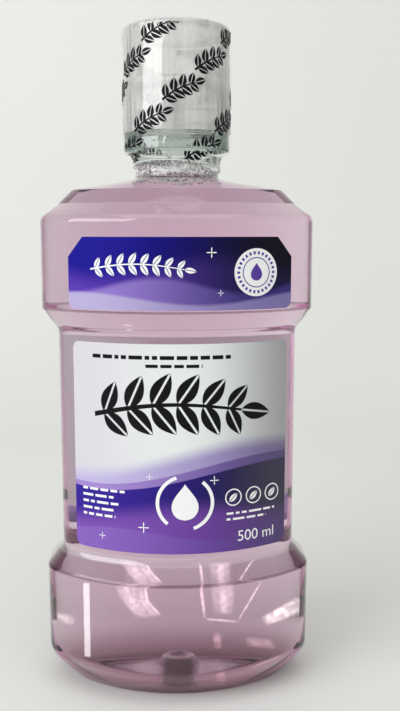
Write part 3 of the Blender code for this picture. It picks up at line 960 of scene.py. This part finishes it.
def ridge(name, root, tip, height_at_zero, start_turn, turns, body, slot, look):
    """A screw thread's ridge, which runs out at both ends."""
    steps = round(turns * THREAD_STEPS)
    inside = root + math.copysign(THREAD_ROOT_DEPTH, root - tip)
    rings = []
    for i in range(steps + 1):
        turn = start_turn + turns * i / steps
        rise = min(1.0, i / steps * turns / RUN_OUT_TURNS, (1 - i / steps) * turns / RUN_OUT_TURNS)
        reach = mix(mix(inside, root, 0.5), tip, rise)
        half_root = THREAD_RIDGE / 2
        half_tip = mix(THREAD_RIDGE, THREAD_TIP, rise) / 2
        z = height_at_zero + PITCH * turn
        angle = math.tau * turn
        profile = [(inside, -half_root), (reach, -half_tip), (reach, half_tip), (inside, half_root)]
        rings.append([(radius * math.cos(angle), radius * math.sin(angle), z + h) for radius, h in profile])
    piece(mesh_of(name, rings), body, slot, [look], sharp=35)


def neck_wall():
    """The thick wall of the neck above the froth, which darkens towards its edges."""
    outer = NECK_RADIUS - 0.0002
    profile = [
        (outer, BEAD_Z),
        (outer, NECK_WALL_FOOT_Z),
        (BORE_RADIUS, NECK_WALL_FOOT_Z),
        (BORE_RADIUS, BEAD_Z),
    ]
    piece(mesh_of("neck_wall", turned(profile), closed=True), "bottle", "clear_pet", [NECK_WALL], sharp=40)


def liquid_body():
    radius = NECK_RADIUS - LIQUID_INSET
    rings = hull_rings(LIQUID_INSET) + turned([(radius, NECK_FOOT_Z + 0.0004), (radius, LIQUID_TOP_Z)])
    piece(mesh_of("mouthwash_body", rings), "bottle", "mauve_liquid", [LIQUID], ["mouthwash"])


def sphere(subdivisions):
    bm = bmesh.new()
    bmesh.ops.create_icosphere(bm, subdivisions=subdivisions, radius=1.0)
    points = np.array([v.co for v in bm.verts])
    faces = np.array([[v.index for v in f.verts] for f in bm.faces])
    bm.free()
    return points, faces


def froth():
    """Small bubbles at the top of the liquid, as wide as the neck because its thick wall magnifies them.

    They bank up at the left front, and some gather under the wall around the neck's foot.
    """
    rng = np.random.default_rng(FROTH_SEED)
    coarse = sphere(1)
    fine = sphere(2)
    turns, heights = zip(*FROTH_HEIGHTS)
    edge = [(math.atan2(x, -y), math.hypot(x, y)) for x, y, _ in outline(BODY_PROFILE[-1][0], SHOULDER_TOP_Z)]
    edge_turns, edge_reaches = zip(*sorted(edge))
    start = NECK_RADIUS + NECK_FILLET
    all_points = []
    all_faces = []
    count = 0
    for k in range(FROTH_BUBBLES + FOOT_BUBBLES):
        radius = SMALLEST_BUBBLE + BUBBLE_SPREAD * rng.random() ** 2.6
        turn = math.pi * rng.uniform(-1.0, 1.0)
        if k < FROTH_BUBBLES:
            out = (NECK_RADIUS - radius - 0.0002) * math.sqrt(rng.uniform(0.7, 1.0))
            z = LIQUID_TOP_Z - 0.0008 + float(np.interp(turn, turns, heights)) * rng.random()
        else:
            out = rng.uniform(NECK_RADIUS - 0.0012, FROTH_REACH)
            down = max(0.0, out - start) / (float(np.interp(turn, edge_turns, edge_reaches)) - start)
            z = mix(NECK_FOOT_Z, SHOULDER_TOP_Z, down) - radius * FOOT_DEPTH - rng.uniform(0.00005, 0.0003)
        points, faces = fine if radius > BIG_BUBBLE else coarse
        all_faces.append(faces + count)
        all_points.append(points * radius + np.array(around(turn, out, z)))
        count += len(points)
    mesh = mesh_from("froth", np.vstack(all_points).tolist(), np.vstack(all_faces).tolist())
    piece(mesh, "bottle", "mauve_liquid", [froth_look()])


# Labels


def label(name, side, inset, foot, top, chamfered, looks, slot):
    """A thin sheet bowed over a face. Its corners are rounded, or its upper ones chamfered."""
    width = LABEL_WIDTH
    shift = LABEL_SHIFT if side == FRONT else 0.0
    cuts = {width * i / LABEL_STEPS for i in range(LABEL_STEPS + 1)}
    for _, cosine in quarter(LABEL_CORNER_STEPS):
        step = LABEL_CORNER * (1 - cosine)
        cuts |= {step, width - step}
    if chamfered:
        cuts |= {CHAMFER_WIDTH, width - CHAMFER_WIDTH}

    def rounding(x):
        short = max(0.0, LABEL_CORNER - x)
        return LABEL_CORNER - math.sqrt(LABEL_CORNER**2 - short**2)

    near = inset - LABEL_GAP
    far = near - LABEL_THICKNESS
    rings = []
    for x in sorted(cuts):
        from_end = min(x, width - x)
        low = foot + rounding(from_end)
        high = top - rounding(from_end)
        if chamfered:
            high = top - CHAMFER_HEIGHT * max(0.0, 1 - from_end / CHAMFER_WIDTH)
        turn = (shift + x - width / 2) / (FACE_RADIUS - inset)
        section = [(far, low), (far, high), (near, high), (near, low)]
        rings.append([face_point(turn, depth, z, side) for depth, z in section])
    mesh = mesh_of(f"{name}_skin", rings)
    for face in mesh.polygons[: (len(rings) - 1) * 4]:
        if face.index % 4 == 2:
            face.material_index = 1
    piece(mesh, "bottle", slot, looks, [name], sharp=35)


def labels():
    front_back = label_back_look(through=0.25)
    upper = (0.0, SHOULDER_LABEL_FOOT_Z, SHOULDER_LABEL_TOP_Z)
    waist = (WAIST_INSET, WAIST_LABEL_FOOT_Z, WAIST_LABEL_TOP_Z)
    label("shoulder_label", FRONT, *upper, True, [shoulder_look(), front_back], "dark_label_film")
    label("front_label", FRONT, *waist, False, [front_look(), front_back], "pale_label_film")
    label("back_label", BACK, *waist, False, [back_look(), label_back_look(through=0.85)], "label_back_film")


def on_label(side, inset, foot):
    """Places print on a label: u along its bowed face, to the right as it is seen, and v up from its foot."""
    shift = LABEL_SHIFT if side == FRONT else 0.0
    reach = FACE_RADIUS - inset
    skin = inset - LABEL_GAP - LABEL_THICKNESS - PRINT_LIFT
    return lambda u, v: face_point((shift - side * u) / reach, skin, foot + v, side)


def label_print(name, sheets, place, slot, ink, colour):
    printed(name, sheets, place, "bottle", slot, ink_look(ink, colour))


def shoulder_print():
    place = on_label(FRONT, 0.0, SHOULDER_LABEL_FOOT_Z)
    badge = (0.0232, 0.0112)
    pale = moved(disc(0.0072), *badge)
    pale += moved(sprig(0.0290, 0.0016, 8, 0.0040, 0.0019, 0.0005), -0.0280, 0.0122)
    pale += moved(star(0.0016), 0.0090, 0.0172)
    pale += moved(star(0.0010), 0.0118, 0.0052)
    colour = (0.82, 0.83, 0.84)
    label_print("shoulder_print_pale", pale, place, "dark_label_film", "ink_pale_shoulder", colour)
    above = on_label(FRONT, -PRINT_LIFT, SHOULDER_LABEL_FOOT_Z)
    dark = moved(ring(0.0044, 0.0003), *badge)
    dark += moved(drop(0.0019), badge[0], badge[1] - 0.0006)
    teeth = 26
    reach = 0.0054
    for k in range(teeth):
        angle = math.tau * k / teeth
        at = (badge[0] + reach * math.cos(angle), badge[1] + reach * math.sin(angle))
        dark += moved(bar(0.0009, 0.0007), *at, angle)
    label_print("shoulder_print_dark", dark, above, "dark_label_film", "ink_violet", (0.09, 0.045, 0.30))


def front_print():
    rng = np.random.default_rng(FRONT_SEED)
    place = on_label(FRONT, WAIST_INSET, WAIST_LABEL_FOOT_Z)
    dark = moved(sprig(0.0470, 0.0030, 6, 0.0116, 0.0060, 0.0016), -0.0280, 0.0440, math.radians(2))
    dark += moved(dashes(rng, 0.0580, 1, 0.0, 0.0012), -0.0285, 0.0624)
    dark += moved(dashes(rng, 0.0230, 1, 0.0, 0.0010), -0.0110, 0.0598)
    label_print("front_print_dark", dark, place, "pale_label_film", "ink_black", (0.006, 0.006, 0.008))
    pale = moved(drop(0.0042), 0.0010, 0.0152)
    for start in (0.30, 0.80):
        pale += moved(ring(0.0086, 0.0011, start, 0.34), 0.0010, 0.0166)
    pale += moved(dashes(rng, 0.0150, 5, 0.0021, 0.0008), -0.0330, 0.0196)
    for k in range(3):
        u = 0.0165 + k * 0.0070
        v = 0.0176
        pale += moved(ring(0.0026, 0.0004), u, v)
        pale += moved(leaf(0.0036, 0.0019), u - 0.0013, v - 0.0013, math.pi / 4)
    pale += moved(dashes(rng, 0.0190, 2, 0.0019, 0.0007), 0.0142, 0.0124)
    pale += moved(figures("500 ml", 0.0050), 0.0178, 0.0030)
    for u, v, size in (
        (-0.0120, 0.0085, 0.0018),
        (0.0102, 0.0236, 0.0015),
        (-0.0100, 0.0250, 0.0011),
        (-0.0260, 0.0046, 0.0012),
    ):
        pale += moved(star(size), u, v)
    label_print("front_print_pale", pale, place, "pale_label_film", "ink_pale_front", (0.84, 0.84, 0.86))


def back_print():
    rng = np.random.default_rng(BACK_SEED)
    dark = []
    for rows, u, v in ((9, -0.0320, 0.0600), (9, 0.0030, 0.0600), (6, -0.0320, 0.0350)):
        dark += moved(dashes(rng, 0.0280, rows, 0.0023, 0.0008), u, v)
    dark += moved(sprig(0.0160, 0.0016, 4, 0.0060, 0.0030, 0.0008), -0.0290, 0.0155)
    at = 0.0060
    bars_end = 0.0270
    bar_height = 0.0100
    while at < bars_end:
        width = rng.choice([0.0003, 0.0005, 0.0008])
        dark += moved(bar(width, bar_height), at, 0.0230 + bar_height / 2)
        at += width + rng.choice([0.0004, 0.0006])
    place = on_label(BACK, WAIST_INSET, WAIST_LABEL_FOOT_Z)
    label_print("back_print_dark", dark, place, "label_back_film", "ink_grey", (0.03, 0.03, 0.05))


# The cap and its sleeve


def insert():
    profile = [
        (LEDGE_HOLE_RADIUS, INSERT_TOP_Z),
        (INSERT_RADIUS - 0.0003, INSERT_TOP_Z),
        (INSERT_RADIUS, INSERT_TOP_Z - 0.0003),
        (INSERT_RADIUS, FLANGE_TOP_Z + 0.0001),
        (INSERT_BORE, FLANGE_TOP_Z + 0.0001),
        (INSERT_BORE, LEDGE_Z),
        (LEDGE_HOLE_RADIUS, LEDGE_Z),
    ]
    mesh = mesh_of("cap_insert_body", turned(profile, CAP_STEPS), closed=True)
    piece(mesh, "cap", "tinted_insert", [INSERT], ["cap_insert"], sharp=40)


def flange():
    profile = [
        (INSERT_BORE, FLANGE_TOP_Z),
        (FLANGE_RADIUS - 0.0002, FLANGE_TOP_Z),
        (FLANGE_RADIUS, FLANGE_TOP_Z - 0.0002),
        (FLANGE_RADIUS, INSERT_FOOT_Z + 0.0003),
        (FLANGE_RADIUS - 0.0003, INSERT_FOOT_Z),
        (INSERT_BORE + 0.0003, INSERT_FOOT_Z),
        (INSERT_BORE, INSERT_FOOT_Z + 0.0003),
    ]

    def ribs(turn, radius, z):
        if radius >= FLANGE_RADIUS - 0.0003 and z < FLANGE_TOP_Z:
            return radius - FLANGE_RIB_DEPTH * (1 + math.cos(turn * FLANGE_RIBS)) / 2
        return radius

    mesh = mesh_of("cap_flange_body", turned(profile, CAP_STEPS, ribs), closed=True)
    piece(mesh, "cap", "tinted_insert", [FLANGE], sharp=40)


def cup():
    profile = [(radius, CUP_TOP_Z) for radius in (0.0004, 0.005, 0.010)]
    for sine, cosine in quarter(6):
        profile.append((CUP_FLAT_RADIUS + CUP_ROUND * sine, CUP_TOP_Z - CUP_ROUND * (1 - cosine)))
    profile += [
        (CUP_RADIUS, CUP_FOOT_Z + 0.0002),
        (CUP_RADIUS - 0.0002, CUP_FOOT_Z),
        (CUP_INNER_RADIUS + 0.0002, CUP_FOOT_Z),
        (CUP_INNER_RADIUS, CUP_FOOT_Z + 0.0002),
        (mix(CUP_INNER_RADIUS, CUP_TOP_INNER_RADIUS, 0.5), mix(CUP_FOOT_Z, CUP_CEILING_Z, 0.5)),
        (CUP_TOP_INNER_RADIUS, CUP_CEILING_Z - CUP_ROUND),
        (CUP_TOP_INNER_RADIUS - CUP_ROUND * 0.3, CUP_CEILING_Z - CUP_ROUND * 0.3),
        (CUP_TOP_INNER_RADIUS - CUP_ROUND, CUP_CEILING_Z),
        (0.006, CUP_CEILING_Z),
        (0.0004, CUP_CEILING_Z),
    ]

    def flutes(turn, radius, z):
        share = (z - CUP_FOOT_Z) / (CUP_CEILING_Z - CUP_FOOT_Z)
        inner_wall = abs(radius - mix(CUP_INNER_RADIUS, CUP_TOP_INNER_RADIUS, share)) < 0.0002
        if inner_wall and 0 < share < 1:
            return radius + CUP_FLUTE_DEPTH * (1 + math.cos(turn * CUP_FLUTES)) / 2
        return radius

    mesh = mesh_of("cap_cup_body", turned(profile, FILM_STEPS, flutes))
    for face in mesh.polygons:
        if abs(face.normal.z) > 0.99 and face.center.z > CUP_CEILING_Z - CUP_TOP_THICKNESS:
            face.material_index = 1
    piece(mesh, "cap", "clear_cup", [CUP, CUP_LID], ["cap_cup"], sharp=40)


def crinkle(turn, z, seed):
    """Small outward folds of shrunk film, from a few crossed waves."""
    a = math.sin(turn * 9 + seed + z * 700 * math.sin(turn * 2 + seed))
    b = math.sin(turn * 23 - z * 1500 + 2.1 * seed)
    c = math.sin(turn * 4 + z * 2600 + math.sin(turn * 7) * 2)
    return (1.6 + a + 0.6 * b) * 0.3 + max(0.0, c) ** 3 * 0.5


def sleeve_profile():
    """The film over the cap, as (radius, height) from its lip on the cap's top down to its perforation."""
    reach = CUP_ROUND + FILM_SKIN
    top = CUP_TOP_Z + FILM_SKIN
    points = [(CUP_FLAT_RADIUS - FILM_LIP, top), (CUP_FLAT_RADIUS - FILM_LIP / 2, top)]
    for sine, cosine in quarter(8):
        points.append((CUP_FLAT_RADIUS + reach * sine, CUP_SIDE_TOP_Z + reach * cosine))
    for i in range(1, 25):
        radius = mix(CUP_TOP_RADIUS, CUP_RADIUS, i / 24) + FILM_SKIN
        points.append((radius, mix(CUP_SIDE_TOP_Z, CUP_FOOT_Z, i / 24)))
    step_z = FLANGE_TOP_Z - 0.0011
    for i in range(7):
        points.append((FLANGE_RADIUS + FILM_SKIN, mix(step_z, PERFORATION_Z + 0.0003, i / 6)))
    return points


def cap_folds(turn, radius, z):
    """The film's folds over the cap, deepest near its top and the perforation, with a few sharp pleats."""
    near_top = max(0.0, 1 - (CUP_TOP_Z - z) / FOLD_TOP_REACH)
    near_foot = max(0.0, 1 - (z - PERFORATION_Z) / FOLD_FOOT_REACH)
    rise = FOLD_DEPTH + FOLD_TOP_DEPTH * near_top + FOLD_FOOT_DEPTH * near_foot
    pleats = PLEAT_DEPTH * max(0.0, math.sin(turn * 11 + 8 * math.sin(turn * 2) + z * 60)) ** 6
    return radius + rise * crinkle(turn, z, 1.0) + pleats


def sleeve_cap():
    mesh = mesh_of("sleeve_cap_film", turned(sleeve_profile(), FILM_STEPS, cap_folds), ends=False)
    for face in mesh.polygons:
        face.material_index = 1 if face.center.z < FLANGE_TOP_Z else 0
    piece(mesh, "cap", "shrink_film", [FILM, NECK_FILM], ["sleeve_cap"])


# (radius, height, how far the film's lower edge pulls it up or down)
NECK_FILM_PROFILE = [
    (FLANGE_RADIUS, NECK_FILM_TOP, 0.0),
    (FLANGE_RADIUS - 0.0003, NECK_FILM_TOP - 0.0003, 0.0),
    (BEAD_RADIUS + 0.0004, NECK_FILM_TOP - 0.0007, 0.0),
    (BEAD_RADIUS, NECK_FILM_TOP - 0.0010, 0.0),
    (BEAD_RADIUS, BEAD_Z, 0.0),
    (NECK_RADIUS + 0.0001, BEAD_Z - BEAD_HEIGHT * 0.85, 0.0),
    (NECK_RADIUS, BEAD_Z - BEAD_HEIGHT, 0.05),
    (NECK_RADIUS, mix(BEAD_Z - BEAD_HEIGHT, NECK_FILM_FOOT, 0.33), 0.33),
    (NECK_RADIUS, mix(BEAD_Z - BEAD_HEIGHT, NECK_FILM_FOOT, 0.66), 0.66),
    (NECK_RADIUS, NECK_FILM_FOOT + 0.0005, 1.0),
    (NECK_RADIUS + 0.0001, NECK_FILM_FOOT + 0.0003, 1.0),
    (NECK_RADIUS, NECK_FILM_FOOT, 1.0),
]


def neck_folds(turn, radius, z):
    return radius + NECK_FOLD_DEPTH * crinkle(turn, z, 3.0)


def radius_at(profile, z):
    """The profile's radius at a height, for a profile that runs downwards."""
    return float(np.interp(-z, [-h for _, h in profile], [r for r, _ in profile]))


def sleeve_print():
    """The same slanted sprig all over the film, in staggered rows. It runs on below the perforation."""
    girth = math.tau * CUP_RADIUS
    motif = sprig(0.0112, 0.0006, 4, 0.0042, 0.0024, 0.0007)
    rows = 5
    columns = 4
    start = 0.10
    stagger = 0.37
    foot = 0.1715
    pitch = 0.0088
    slant = math.radians(27)
    sheets = []
    for row in range(rows):
        for column in range(columns):
            u = girth * (column + stagger * row + start) / columns
            sheets += moved(motif, u, foot + row * pitch, slant)
    ink = ink_look("ink_film", (0.008, 0.008, 0.010))

    def on_film(profile, folds):
        def place(u, v):
            turn = u / CUP_RADIUS
            return around(turn, folds(turn, radius_at(profile, v), v) + FILM_PRINT_LIFT, v)

        return place

    def within(low, high):
        return lambda u, v: low < v < high

    on_cap = on_film(sleeve_profile()[10:], cap_folds)
    above = within(PERFORATION_Z + 0.0004, CUP_SIDE_TOP_Z)
    printed("sleeve_cap_print", sheets, on_cap, "cap", "shrink_film", ink, above)
    on_neck = on_film([(radius + FILM_SKIN, z) for radius, z, _ in NECK_FILM_PROFILE], neck_folds)
    below = within(NECK_FILM_FOOT + 0.0016, NECK_FILM_TOP - 0.0003)
    printed("sleeve_neck_print", sheets, on_neck, "bottle", "neck_film", ink, below)


def sleeve_neck():
    rings = []
    for radius, z, wavy in NECK_FILM_PROFILE:
        ring = []
        for i in range(FILM_STEPS):
            turn = math.tau * i / FILM_STEPS
            height = z + FILM_EDGE_SWING * wavy * math.cos(turn + math.tau * 0.055)
            ring.append(around(turn, neck_folds(turn, radius + FILM_SKIN, height), height))
        rings.append(ring)
    mesh = mesh_of("sleeve_neck_film", rings, ends=False)
    # The last three bands of the film take the edge's painted highlight
    for face in mesh.polygons[-3 * FILM_STEPS :]:
        face.material_index = 1
    piece(mesh, "bottle", "neck_film", [NECK_FILM, FILM_EDGE], ["sleeve_neck"])


# Stage, light and camera


def stage():
    """A plain pale sweep: table in front, curved up to a wall behind."""
    profile = [(SWEEP_FRONT_Y, 0.0)]
    profile += [(SWEEP_BEND * (1 + sine), SWEEP_BEND * (1 - cosine)) for sine, cosine in quarter(16)]
    profile.append((2 * SWEEP_BEND, SWEEP_HEIGHT))
    last = len(profile) - 1
    points, faces = sheet(lambda t, s: (SWEEP_HALF_WIDTH * s, *profile[round(t * last)]), last, 40)
    mesh = mesh_from("sweep", points, faces)
    mesh.shade_smooth()
    look = Look("sweep_pale")
    look.set(Roughness=0.9, Specular_IOR_Level=0.0)
    look.set(Base_Color=look.mixed(look.noise(2.4, 2.0), (0.82, 0.82, 0.79), (0.88, 0.89, 0.87)))
    staged(mesh, look)


def aim(obj, target):
    direction = [b - a for a, b in zip(obj.location, target)]
    obj.rotation_euler = Vector(direction).to_track_quat("-Z", "Y").to_euler()


def lamp(name, place, target, size, energy):
    data = bpy.data.lights.new(name, "AREA")
    data.shape = "RECTANGLE"
    data.size, data.size_y = size
    data.energy = energy
    obj = put(data)
    obj.location = place
    aim(obj, target)
    obj.visible_camera = obj.visible_transmission = False


def sky():
    """A pale room, a little darker on the window's side, where the window itself gives the light."""
    world = bpy.data.worlds.new("studio")
    bpy.context.scene.world = world
    world.use_nodes = True
    nodes = Nodes(world.node_tree)
    x, y, _ = nodes.place("Generated")
    colour = nodes.mixed((x * 0.6 + y * -0.8).step(0.1, 0.95), (0.42, 0.43, 0.43), (0.62, 0.62, 0.60))
    nodes.fill(nodes.tree.nodes["Background"].inputs["Color"], colour)


def light():
    sky()
    lamp("window", place=(-0.91, -0.71, 0.58), target=(0.0, 0.0, 0.12), size=(1.00, 0.72), energy=8.4)
    lamp("overhead", place=(0.0, -0.40, 1.1), target=(0.0, -0.05, 0.0), size=(1.2, 0.9), energy=3.4)
    card()
    light_strips()


def card():
    """A narrow low card that only shows as a reflection on the lower bulge."""
    foot = [(*CARD_LEFT, 0.0), (*CARD_RIGHT, 0.0)]
    top = [(*CARD_RIGHT, CARD_HEIGHT), (*CARD_LEFT, CARD_HEIGHT)]
    look = Look("card_glow")
    look.set(Base_Color=(0.0, 0.0, 0.0), Emission_Color=(1.0, 1.0, 1.0), Emission_Strength=8.0)
    mesh = mesh_from("reflector_card", foot + top, [(0, 1, 2, 3)])
    staged(mesh, look, ("camera", "diffuse", "transmission", "shadow"))


# Strips of light along the bottle's back, in millimetres: (first path, last path, count, width, strength).
# A path is its points (along, up). The strips fan out from the first path to the last.
STRIPS = [
    ([(-18.0, 26.0), (-16.0, 20.0), (-11.0, 11.0)], [(-9.5, 26.0), (-8.5, 18.0), (-5.0, 11.5)], 6, 2.6, 0.8),
    ([(-9.5, 24.0), (-8.8, 17.5), (-5.0, 12.0)], [(-9.0, 24.0), (-8.2, 17.5), (-4.4, 12.0)], 1, 0.9, 1.4),
    ([(5.9, 26.0), (7.3, 10.6)], None, 1, 0.8, 1.5),
    ([(7.3, 10.9), (16.7, 10.1)], None, 1, 0.9, 1.4),
    ([(24.0, 26.0), (16.7, 10.4)], None, 1, 0.9, 1.5),
    ([(10.0, 26.0), (11.4, 12.0)], [(15.0, 26.0), (14.2, 12.0)], 3, 3.0, 0.75),
    ([(23.5, 11.0), (37.0, 20.5)], [(24.5, 9.4), (37.0, 14.0)], 5, 2.0, 1.0),
    ([(10.4, 6.5), (10.4, 0.8)], None, 1, 2.2, 1.2),
    ([(18.0, 3.6), (26.0, 3.2)], None, 1, 4.4, 1.2),
    ([(-38.0, 14.0), (-30.0, 11.5)], None, 1, 3.4, 1.0),
]


def between(a, b, share):
    return mix(a[0], b[0], share), mix(a[1], b[1], share)


def strips(rng, first, last, count, width):
    """Strips fanned out between two paths, or along one."""
    sheets = []
    for k in range(count):
        share = (k + 0.5) / count + rng.uniform(-0.2, 0.2) / count
        path = [between(a, b, share) for a, b in zip(first, last or first)]
        half = width / 2 * rng.uniform(0.6, 1.4)

        def shape(t, s):
            along = t * (len(path) - 1)
            at = min(int(along), len(path) - 2)
            (ua, za), (ub, zb) = path[at : at + 2]
            u, z = between(path[at], path[at + 1], along - at)
            length = math.hypot(ub - ua, zb - za)
            return (u - s * half * (zb - za) / length) * MM, (z + s * half * (ub - ua) / length) * MM

        sheets.append(sheet(shape, STRIP_STEPS, STRIP_STEPS))
    return sheets


def strip_look():
    """Light added to what is behind it. The point attribute glow says how much."""
    look = Look("strip_glow")
    attribute = look.node("ShaderNodeAttribute")
    attribute.attribute_name = "glow"
    grain = look.noise(600.0, 4.0).step(0.25, 0.75) * 1.1 + 0.5
    strength = Field(look, attribute.outputs["Fac"]) * grain * 0.6
    emission = look.node("ShaderNodeEmission", Color=(0.88, 1.0, 0.82), Strength=strength)
    look.show(look.node("ShaderNodeAddShader", emission, look.node("ShaderNodeBsdfTransparent")))
    return look


def light_strips():
    """Soft strips of light behind the bottle, seen only through it, where the window's light gathers."""
    rng = np.random.default_rng(STRIP_SEED)
    sheets = []
    strengths = []
    for first, last, count, width, strength in STRIPS:
        sheets += strips(rng, first, last, count, width)
        strengths += [strength] * count
    behind = -0.0008
    mesh = laid("light_strips", sheets, lambda u, z: face_point(u / (FACE_RADIUS - behind), behind, z, BACK))
    glows = []
    for strength, (flat, _) in zip(strengths, sheets):
        for k in range(len(flat)):
            along, across = divmod(k, STRIP_STEPS + 1)
            s = 2 * across / STRIP_STEPS - 1
            glows.append(strength * (1 - s * s) * math.sin(math.pi * along / STRIP_STEPS) ** 0.6)
    mesh.attributes.new("glow", "FLOAT", "POINT").data.foreach_set("value", glows)
    staged(mesh, strip_look(), ("camera", "diffuse", "glossy", "shadow"))


def camera():
    """The photograph's camera, as the bottle's outline and creases give it."""
    data = bpy.data.cameras.new("camera")
    data.sensor_fit = "VERTICAL"
    data.sensor_height = SENSOR_HEIGHT
    data.lens = FOCAL_PIXELS / PICTURE_HEIGHT_PIXELS * SENSOR_HEIGHT
    data.clip_start = 0.01
    obj = put(data)
    obj.location = CAMERA_PLACE
    obj.rotation_euler = (math.radians(90 - CAMERA_DOWN), 0.0, math.radians(-CAMERA_RIGHT))
    bpy.context.scene.camera = obj


def main():
    bottle_shell()
    neck = (FINISH_RADIUS, THREAD_RADIUS, THREAD_Z, 0.0, THREAD_TURNS)
    ridge("neck_thread_ridge", *neck, "bottle", "clear_pet", THREAD)
    neck_wall()
    liquid_body()
    froth()
    labels()
    shoulder_print()
    front_print()
    back_print()
    insert()
    flange()
    cap = (INSERT_BORE, CAP_THREAD_RADIUS, THREAD_Z - PITCH / 2, 0.5, CAP_THREAD_TURNS)
    ridge("cap_thread_ridge", *cap, "cap", "tinted_insert", INSERT)
    cup()
    sleeve_cap()
    sleeve_neck()
    sleeve_print()
    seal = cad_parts["cap_seal"]
    seal.data.materials.clear()
    seal.data.materials.append(foam_look())
    stage()
    light()
    camera()
    bpy.context.scene.view_settings.view_transform = "Standard"


main()
